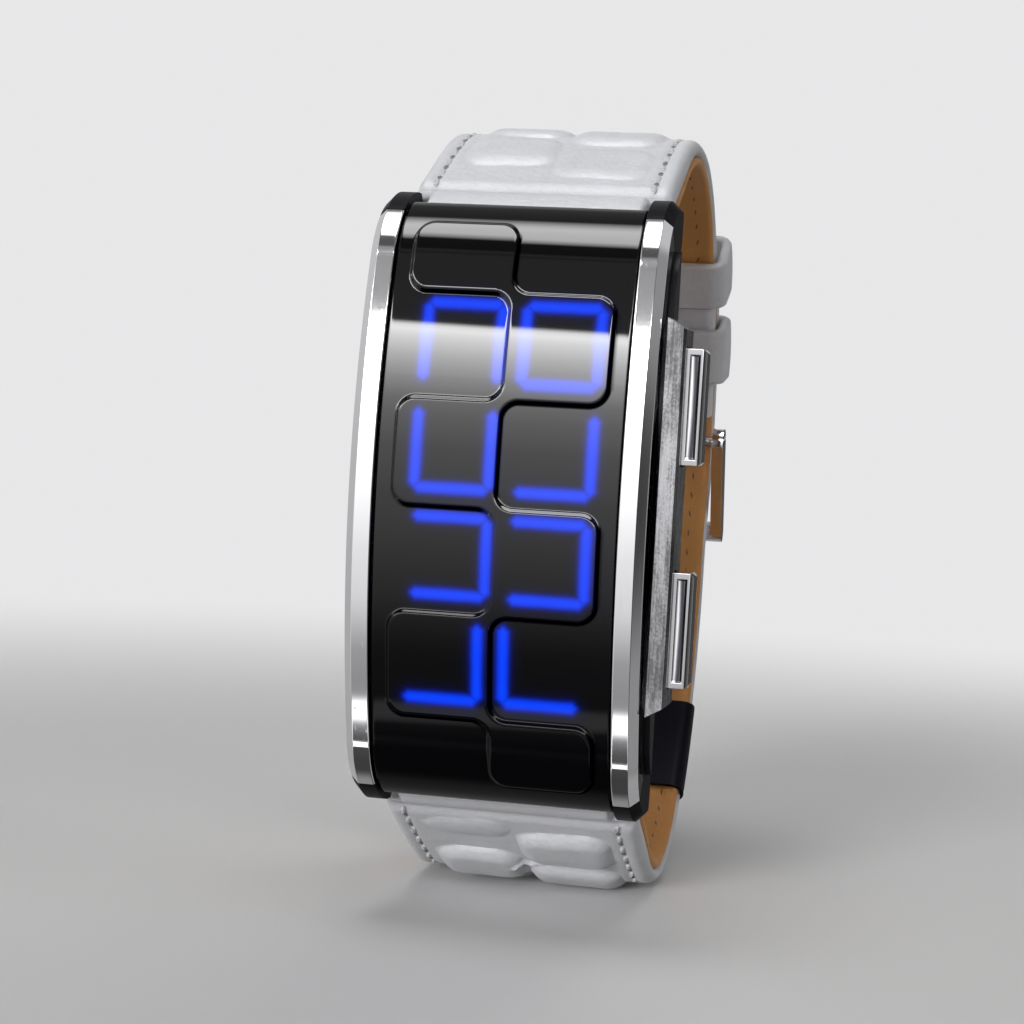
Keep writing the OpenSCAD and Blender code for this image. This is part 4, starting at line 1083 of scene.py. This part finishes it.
# Stitches
def stitch_tree():
    """Geometry Nodes: threads or their holes at even steps along each line of the mesh."""
    tree = bpy.data.node_groups.new("Stitch rows", "GeometryNodeTree")
    face = tree.interface
    face.new_socket("Geometry", in_out="INPUT", socket_type="NodeSocketGeometry")
    wanted = [("Pitch", 0.0015), ("Length", 0.0009), ("Width", 0.0002), ("Height", 0.0002),
              ("Shift", 0.0), ("Lean", 0.0), ("Jitter", 0.15)]
    for name, value in wanted:
        face.new_socket(name, in_out="INPUT", socket_type="NodeSocketFloat").default_value = value
    face.new_socket("Material", in_out="INPUT", socket_type="NodeSocketMaterial")
    face.new_socket("Geometry", in_out="OUTPUT", socket_type="NodeSocketGeometry")

    def add(kind, settings=None, inputs=None):
        node = tree.nodes.new(kind)
        for key, value in (settings or {}).items():
            setattr(node, key, value)
        for key, value in (inputs or {}).items():
            if isinstance(value, bpy.types.NodeSocket):
                tree.links.new(value, node.inputs[key])
            else:
                node.inputs[key].default_value = value
        return node

    given = add("NodeGroupInput").outputs
    curve = add("GeometryNodeMeshToCurve", None, {0: given["Geometry"]})
    points = add("GeometryNodeCurveToPoints", {"mode": "LENGTH"},
                 {"Curve": curve.outputs[0], "Length": given["Pitch"]})
    axes = add("FunctionNodeAxesToRotation", {"primary_axis": "Y", "secondary_axis": "X"},
               {0: points.outputs["Tangent"], 1: (1.0, 0.0, 0.0)})
    chance = add("FunctionNodeRandomValue", {"data_type": "FLOAT"}, {"Seed": 5})
    chance.inputs[2].default_value, chance.inputs[3].default_value = -1.0, 1.0
    wobble = add("ShaderNodeMath", {"operation": "MULTIPLY"}, {0: chance.outputs[1], 1: given["Jitter"]})
    lean = add("ShaderNodeMath", {"operation": "ADD"}, {0: wobble.outputs[0], 1: given["Lean"]})
    tilt = add("ShaderNodeCombineXYZ", None, {2: lean.outputs[0]})
    turn = add("FunctionNodeEulerToRotation", None, {0: tilt.outputs[0]})
    whole = add("FunctionNodeRotateRotation", {"rotation_space": "LOCAL"},
                {0: axes.outputs[0], 1: turn.outputs[0]})
    bead = add("GeometryNodeMeshUVSphere", None, {"Segments": 8, "Rings": 6, "Radius": 0.5})
    size = add("ShaderNodeCombineXYZ", None, {0: given["Width"], 1: given["Length"], 2: given["Height"]})
    placed = add("GeometryNodeInstanceOnPoints", None,
                 {"Points": points.outputs[0], "Instance": bead.outputs[0],
                  "Rotation": whole.outputs[0], "Scale": size.outputs[0]})
    shift = add("ShaderNodeCombineXYZ", None, {1: given["Shift"]})
    moved = add("GeometryNodeTranslateInstances", None,
                {"Instances": placed.outputs[0], "Translation": shift.outputs[0], "Local Space": False})
    real = add("GeometryNodeRealizeInstances", None, {0: moved.outputs[0]})
    smooth_on = add("GeometryNodeSetShadeSmooth", None, {0: real.outputs[0]})
    painted = add("GeometryNodeSetMaterial", None,
                  {"Geometry": smooth_on.outputs[0], "Material": given["Material"]})
    done = tree.nodes.new("NodeGroupOutput")
    tree.links.new(painted.outputs[0], done.inputs[0])
    return tree


def stitch_rows(name, tree, lines, material, **sizes):
    """Beads along lines of points, made by the stitch tree and kept as one mesh."""
    verts, edges = [], []
    for line in lines:
        start = len(verts)
        verts += [tuple(p) for p in line]
        edges += [(start + i, start + i + 1) for i in range(len(line) - 1)]
    mesh = bpy.data.meshes.new(name)
    mesh.from_pydata(verts, edges, [])
    obj = linked(name + "_rows", mesh)
    step = obj.modifiers.new("stitches", "NODES")
    step.node_group = tree
    for item in tree.interface.items_tree:
        if item.in_out == "INPUT" and item.name in sizes:
            step[item.identifier] = sizes[item.name]
        elif item.in_out == "INPUT" and item.name == "Material":
            step[item.identifier] = material
    return evaluated(obj, name)


# Settings
def number(name, description, default, **more):
    return bpy.props.FloatProperty(name=name, description=description, default=default, **more)


def length(name, description, default):
    return number(name, description, default, subtype="DISTANCE", unit="LENGTH", precision=5)


def hue(name, description, default):
    return bpy.props.FloatVectorProperty(name=name, description=description, default=default,
                                         subtype="COLOR", size=3, min=0, max=1)


class WatchCaseSettings(bpy.types.PropertyGroup):
    """Sizes and colours of the case, rails and crystal"""

    tile_rise: length("Tile rise", "How far the crystal's tiles stand out", 0.00035)
    segment_half: number("Light bar half width", "Half the width of a lit bar, in mm", 0.52)
    digit_shift_x: number("Digits across", "Moves the lit digits sideways, in mm", 0.52)
    digit_shift_z: number("Digits up", "Moves the lit digits up, in mm", 0.33)
    crystal_colour: hue("Crystal", "Colour of the black crystal", (0.002, 0.002, 0.0028))
    chrome_colour: hue("Chrome", "Colour of the rails, pushers and buckle", (0.8, 0.8, 0.82))
    case_colour: hue("Case", "Colour of the case middle and lugs", (0.006, 0.006, 0.007))


class WatchStrapSettings(bpy.types.PropertyGroup):
    """Sizes and colours of the strap, its stitches and its loops"""

    strap_width: length("Strap width", "Width of the strap", 0.024)
    seam_inset: length("Seam inset", "Distance of the stitches from the strap's edge", 0.0018)
    pad_height: number("Pad height", "Share of the pads' full height", 0.85, min=0, max=1.5)
    stitch_pitch: length("Stitch pitch", "Distance from one stitch to the next", 0.0026)
    leather_colour: hue("Leather", "Colour of the white leather", (0.74, 0.745, 0.78))
    lining_colour: hue("Lining", "Colour of the tan lining", (0.64, 0.3, 0.085))


class WatchStageSettings(bpy.types.PropertyGroup):
    """Floor, lamps and backdrop"""

    floor_colour: hue("Floor", "Colour of the floor", (0.8, 0.8, 0.8))
    backdrop: hue("Backdrop", "Colour behind the watch", (0.8, 0.8, 0.81))
    key_power: number("Key lamp", "Power of the main lamp", 6.0, subtype="POWER", unit="POWER")
    fill: number("Fill", "Level of the even light", 0.12)


# Operators
class WATCH_OT_stage(bpy.types.Operator):
    """Makes the camera, the floor, the lamps and the studio's reflections"""

    bl_idname = "watch.stage"
    bl_label = "Stage"

    def execute(self, context):
        settings = context.scene.watch_stage
        self.camera(context)
        self.floor(settings)
        self.lamps(settings)
        self.world(context, settings)
        context.scene.view_settings.view_transform = "Standard"
        return {"FINISHED"}

    def camera(self, context):
        yaw, pitch, roll = 0.201168848, 0.06548172, 0.05482784
        back = Vector((math.sin(yaw) * math.cos(pitch), -math.cos(yaw) * math.cos(pitch),
                       math.sin(pitch)))
        right = Vector((math.cos(yaw), math.sin(yaw), 0))
        up = -right.cross(back)
        across = math.cos(roll) * right + math.sin(roll) * up
        upward = -math.sin(roll) * right + math.cos(roll) * up
        spot = Vector((40.17, -198.5, 8.71)) * MM
        data = bpy.data.cameras.new("camera")
        data.sensor_width, data.lens, data.shift_y = 36, 78.4, 0.0426
        data.clip_start, data.clip_end = 0.01, 20
        obj = linked("camera", data)
        turn = Matrix((across, upward, back)).transposed()
        obj.matrix_world = Matrix.Translation(spot) @ turn.to_4x4()
        context.scene.camera = obj

    def floor(self, settings):
        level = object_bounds()[0].z - 0.00004
        rings, spokes = [0.02, 0.05, 0.1, 0.2, 0.4, 0.8, 1.6, 4.0], 48
        verts = [(0, 0, level)]
        for r in rings:
            verts += [(r * math.cos(a), r * math.sin(a), level)
                      for a in (2 * math.pi * k / spokes for k in range(spokes))]
        faces = [[0, 1 + k, 1 + (k + 1) % spokes] for k in range(spokes)]
        for i in range(len(rings) - 1):
            a, b = 1 + i * spokes, 1 + (i + 1) * spokes
            faces += [[a + k, b + k, b + (k + 1) % spokes, a + (k + 1) % spokes] for k in range(spokes)]
        f = Finish("floor", tuple(settings.floor_colour), 0.7, Specular_IOR_Level=0.1)
        x, y, _ = f.parts(f.spot)
        away = (x * x + y * y) ** 0.5
        path = f.add("ShaderNodeLightPath").socket.node.outputs
        seen = Value(f.tree, path["Is Camera Ray"]).most(Value(f.tree, path["Is Glossy Ray"]))
        seen = seen.most(Value(f.tree, path["Is Transmission Ray"]))
        f.cover(f.between(away, *FADE) * seen, "ShaderNodeEmission", tuple(settings.backdrop))
        f.set("Base Color", f.blend(seen, tint(f.colour, 0.45), f.colour))
        f.set("Roughness", 0.6 + 0.15 * f.cloud(40.0))
        mesh = bpy.data.meshes.new("floor")
        mesh.from_pydata(verts, [], faces)
        mesh.materials.append(f.material)
        obj = linked("floor", mesh)
        obj.visible_glossy = False
        obj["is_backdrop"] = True

    def lamps(self, settings):
        for name, spot, size, share in LAMPS:
            data = bpy.data.lights.new(name, "AREA")
            data.shape, data.size, data.energy = "DISK", size, share * settings.key_power
            obj = linked(name, data)
            obj.location = spot
            obj.rotation_mode = "QUATERNION"
            obj.rotation_quaternion = (-Vector(spot)).to_track_quat("-Z", "Y")
            obj.visible_glossy = False

    def world(self, context, settings):
        world = bpy.data.worlds.new("studio")
        context.scene.world = world
        w = Sheet(world)
        path = w.add("ShaderNodeLightPath").socket.node.outputs
        seen, shiny = Value(w.tree, path["Is Camera Ray"]), Value(w.tree, path["Is Glossy Ray"])
        x, y, z = w.parts(w.add("ShaderNodeTexCoord", None, None, "Generated"))
        height = z.math("ARCSINE") * (1 / math.pi) + 0.5

        def levels(stops):
            return w.ramp(height, [(degrees / 180 + 0.5, level / BRIGHTEST) for degrees, level in stops])

        def plain(level):
            return (level / BRIGHTEST,) * 3

        left = w.blend(w.between(x, *LEFT_FROM), levels(FRONT_LEVELS), plain(LEFT_LEVEL))
        sides = w.blend(w.between(x, *RIGHT_FROM), left, plain(RIGHT_LEVEL))
        gap = w.between(x, *GAP_FROM) * w.between(x, *GAP_TO)
        behind = w.blend(gap, levels(REAR_LEVELS), plain(RIGHT_LEVEL))
        around = w.blend(w.between(y, *REAR_FROM), sides, behind)
        beside = w.between(x, *BESIDE_FROM) * w.between(y, *BESIDE_BEHIND)
        studio = w.blend(beside, around, plain(BESIDE_LEVEL))
        grown = w.add("ShaderNodeVectorMath", {"operation": "SCALE"}, {0: studio, 3: BRIGHTEST})
        even = w.blend(seen, (settings.fill,) * 3, tuple(settings.backdrop))
        w.tree.links.new(w.blend(shiny, even, grown).socket, w.tree.nodes["Background"].inputs[0])


class WATCH_OT_case(bpy.types.Operator):
    """Finishes the case middle, its lugs, the case back and the fastenings"""

    bl_idname = "watch.case"
    bl_label = "Case"

    def execute(self, context):
        settings = context.scene.watch_case
        black = moulded("case_black", tuple(settings.case_colour), 0.4, 1500.0, 0.045)
        body = softened("case_middle", "case_body", black, 0.07, 30.0)
        declare(body, "black_case", "case", "case_middle")
        plate = brushed("case_back_steel", (0.56, 0.56, 0.58), "z", 0.3)
        finish_node(plate, "case_back")
        steel = brushed("fastening_steel", (0.5, 0.5, 0.52), "x", 0.25)
        finish_node(steel, "rail_pins", "back_screws", "guard_screws", "pusher_clip_upper",
                    "pusher_clip_lower", "strap_bar_upper", "strap_bar_lower", "buckle_bar")
        return {"FINISHED"}


class WATCH_OT_rails(bpy.types.Operator):
    """Makes the two polished rails beside the crystal"""

    bl_idname = "watch.rails"
    bl_label = "Rails"

    def execute(self, context):
        chrome = polished("rail_chrome", tuple(context.scene.watch_case.chrome_colour))
        for side, node in ((-1, "left_rail"), (1, "right_rail")):
            declare(make_rail(node + "_polished", side, chrome), "chrome", "case", node)
        return {"FINISHED"}


class WATCH_OT_crystal(bpy.types.Operator):
    """Makes the curved crystal with its tiles and the glow of the light bars painted on it"""

    bl_idname = "watch.crystal"
    bl_label = "Crystal"

    def execute(self, context):
        settings = context.scene.watch_case
        lens = make_crystal("crystal_tiled", settings, crystal_finish(settings))
        declare(lens, "crystal_black", "case", "crystal")
        return {"FINISHED"}


class WATCH_OT_movement(bpy.types.Operator):
    """Finishes the display, the board, the frame, the cells and the seals"""

    bl_idname = "watch.movement"
    bl_label = "Movement"

    def execute(self, context):
        finish_node(moulded("seal_rubber", (0.02, 0.02, 0.021), 0.7), "crystal_seal", "back_gasket",
                    "pusher_seals")
        finish_node(moulded("mask_plastic", (0.012, 0.012, 0.013), 0.6), "light_mask")
        finish_node(glowing("lit_bar", (0.02, 0.1, 0.8)), "segments_lit")
        finish_node(moulded("dark_bar", (0.03, 0.03, 0.05), 0.25), "segments_dark")
        finish_node(moulded("chip_resin", (0.7, 0.62, 0.3), 0.3), "led_chips")
        finish_node(board("board_coat", (0.015, 0.09, 0.045)), "display_board")
        finish_node(moulded("frame_plastic", (0.05, 0.05, 0.053), 0.55), "module_frame")
        finish_node(brushed("cell_steel", (0.62, 0.62, 0.64), "x", 0.22),
                    "battery_upper", "battery_lower")
        finish_node(brushed("contact_brass", (0.7, 0.5, 0.2), "z", 0.3), "battery_contact")
        return {"FINISHED"}


class WATCH_OT_buttons(bpy.types.Operator):
    """Makes the side boss, the button guard and the two pushers"""

    bl_idname = "watch.buttons"
    bl_label = "Buttons"

    def execute(self, context):
        # Painted shade: the pushers take the rails' chrome colour at half its brightness.
        chrome = polished("pusher_chrome", tint(tuple(context.scene.watch_case.chrome_colour), 0.5), 0.1)
        steel = brushed("guard_steel", (0.25, 0.25, 0.26), "z", 0.24, 0.6)
        grey = moulded("boss_grey", (0.012, 0.012, 0.014), 0.4, 1300.0, 0.1)
        wanted = [("side_boss", grey, "boss_grey", "case", 0.14),
                  ("button_guard", steel, "steel", "case", 0.24),
                  ("pusher_upper", chrome, "chrome", "pusher_upper", 0.07),
                  ("pusher_lower", chrome, "chrome", "pusher_lower", 0.07)]
        for node, material, slot, body, width in wanted:
            declare(softened(node, node + "_soft", material, width), slot, body, node)
        for body, z in (("pusher_upper", PUSHER_Z), ("pusher_lower", -PUSHER_Z)):
            declare(make_inlay(body + "_inlay", z, ground(body + "_ground", z)), "chrome", body)
        return {"FINISHED"}


class WATCH_OT_strap(bpy.types.Operator):
    """Makes both strap halves in padded white leather with their tan lining"""

    bl_idname = "watch.strap"
    bl_label = "Strap"

    def holes(self, route):
        """Cutters for the lower half's three holes and the tongue's slot behind them."""
        first = route.total(3) - 6
        cutters = [hole_cutter(route, first - HOLE_PITCH * k) for k in range(3)]
        return cutters + [slot_cutter((0, PIVOT[0] + 3, PIVOT[1] - 0.3), (2.5, 7, 3.2))]

    def execute(self, context):
        settings = context.scene.watch_strap
        white = leather("white_leather", tuple(settings.leather_colour))
        tan = leather("tan_lining", tuple(settings.lining_colour), 3000.0, 0.6, 0.3)
        py, pz, _ = PIVOT
        for word, route in (("upper", UPPER), ("lower", LOWER)):
            form = StrapForm(route, settings)
            hide = make_leather("strap_%s_leather" % word, form, white)
            lining_end = form.end - 0.1 if form.lower else FLAP_S - 0.05
            lining = make_lining("strap_%s_tan" % word, form, lining_end, tan)
            if form.lower:
                hide, lining = carve(hide, self.holes(route)), carve(lining, self.holes(route))
            else:
                hide = carve(hide, [slot_cutter((0, py, pz - 0.4), (2.5, 6, 4.2))])
            declare(hide, "white_leather", "case", "strap_" + word)
            declare(lining, "tan_lining", "case", "strap_%s_lining" % word)
        return {"FINISHED"}


class WATCH_OT_stitches(bpy.types.Operator):
    """Sews the strap: rows of thread and their holes, outside and on the lining. Each hole is a grey
    bead of painted shade.
    """

    bl_idname = "watch.stitches"
    bl_label = "Stitches"

    def execute(self, context):
        settings = context.scene.watch_strap
        tree = stitch_tree()
        white = thread("white_thread", (0.72, 0.72, 0.74))
        # Painted shade: grey beads sunk just under the leather stand for the dark stitch holes.
        hole = moulded("stitch_hole", (0.24, 0.24, 0.25), 0.8, gloss=0.1)
        dark = thread("tan_thread", (0.2, 0.105, 0.04))
        pitch = settings.stitch_pitch
        for word, route, stop in (("upper", UPPER, 61.0), ("lower", LOWER, 98.5)):
            form = StrapForm(route, settings)
            rows = int((stop - SEAM_FROM) / SEAM_STEP)
            steps = [SEAM_FROM + SEAM_STEP * i for i in range(rows)]
            between = [s + pitch / MM / 2 for s in steps[:-4]]
            xs = (-form.seam_x, form.seam_x)

            def seams(places, lift):
                return [[route.place(x, form.outer(x, s) + lift, s) for s in places] for x in xs]

            outside = stitch_rows("stitches_" + word, tree, seams(steps, 0.07), white,
                                  Pitch=pitch, Length=0.0016, Width=0.00055, Height=0.00042,
                                  Lean=0.16, Jitter=0.1)
            holes = stitch_rows("stitch_holes_" + word, tree, seams(between, -0.05), hole,
                                Pitch=pitch, Length=0.0013, Width=0.00085, Height=0.0003,
                                Lean=0.16, Jitter=0.1)
            end = stop if form.lower else FLAP_S - 1.2
            inside = [[route.place(x, 0.04 - strap_t(s) / 2, s) for s in between if 5.2 < s < end]
                      for x in xs]
            sewn = stitch_rows("lining_stitches_" + word, tree, inside, dark,
                               Pitch=pitch * 0.8, Length=0.0008, Width=0.0002, Height=0.0002,
                               Lean=0.2, Jitter=0.14)
            declare(outside, "white_leather", "case")
            declare(holes, "dark_sleeve", "case")
            declare(sewn, "tan_lining", "case")
        return {"FINISHED"}


class WATCH_OT_loops(bpy.types.Operator):
    """Makes the fixed keeper, the loose keeper and the dark sleeve"""

    bl_idname = "watch.loops"
    bl_label = "Loops"

    def execute(self, context):
        settings = context.scene.watch_strap
        white = leather("keeper_leather", tuple(settings.leather_colour), 1900.0, 0.42)
        dark = moulded("sleeve_rubber", (0.004, 0.004, 0.007), 0.45, 1100.0, 0.05)
        half = settings.strap_width / MM / 2
        under, over = THIN_T / 2 + KEEPER_GAP, THIN_T / 2 + LAYER + KEEPER_GAP
        keepers = [("fixed_keeper", "case", 13.5, 6.2), ("loose_keeper", "keeper", 27.5, 5.4)]
        for node, body, angle, long in keepers:
            s_mid = UPPER.total(2) + math.radians(UPPER_BACK - angle) * BACK_R
            piece = make_loop(node + "_leather", UPPER, s_mid, long, half + KEEPER_GAP, -under, over,
                              KEEPER_T, white)
            declare(piece, "white_leather", body, node)
        around = THIN_T / 2 + SLEEVE_GAP
        sleeve = make_loop("strap_sleeve_rubber", LOWER, SLEEVE_S, SLEEVE_LONG, half + 0.15,
                           -around, around, SLEEVE_T, dark, 0.0)
        declare(sleeve, "dark_sleeve", "case", "strap_sleeve")
        return {"FINISHED"}


class WATCH_OT_buckle(bpy.types.Operator):
    """Makes the buckle's frame and its tongue"""

    bl_idname = "watch.buckle"
    bl_label = "Buckle"

    def execute(self, context):
        chrome = polished("buckle_chrome", tuple(context.scene.watch_case.chrome_colour), 0.08)
        for node, body in (("buckle_frame", "buckle"), ("buckle_tongue", "tongue")):
            declare(softened(node, node + "_soft", chrome, 0.12), "chrome", body, node)
        return {"FINISHED"}


OPERATORS = [WATCH_OT_stage, WATCH_OT_case, WATCH_OT_rails, WATCH_OT_crystal, WATCH_OT_movement,
             WATCH_OT_buttons, WATCH_OT_strap, WATCH_OT_stitches, WATCH_OT_loops, WATCH_OT_buckle]
SETTINGS = {"watch_case": WatchCaseSettings, "watch_strap": WatchStrapSettings,
            "watch_stage": WatchStageSettings}


class WATCH_PT_panel(bpy.types.Panel):
    """Lists the watch's settings and its steps"""

    bl_idname = "WATCH_PT_panel"
    bl_label = "Upright LED Watch"
    bl_space_type = "VIEW_3D"
    bl_region_type = "UI"
    bl_category = "LED Watch"

    def draw(self, context):
        for name, group in SETTINGS.items():
            box = self.layout.box()
            for key in group.__annotations__:
                box.prop(getattr(context.scene, name), key)
        for operator in OPERATORS:
            self.layout.operator(operator.bl_idname)


def register():
    for cls in [*SETTINGS.values(), *OPERATORS, WATCH_PT_panel]:
        bpy.utils.register_class(cls)
    for name, group in SETTINGS.items():
        setattr(bpy.types.Scene, name, bpy.props.PointerProperty(type=group))


def unregister():
    for name in SETTINGS:
        delattr(bpy.types.Scene, name)
    for cls in [WATCH_PT_panel, *reversed(OPERATORS), *reversed(SETTINGS.values())]:
        bpy.utils.unregister_class(cls)


def main():
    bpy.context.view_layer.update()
    register()
    for operator in OPERATORS:
        group, name = operator.bl_idname.split(".")
        if getattr(getattr(bpy.ops, group), name)() != {"FINISHED"}:
            raise RuntimeError(operator.bl_label + " did not finish")


if __name__ == "__main__":
    main()
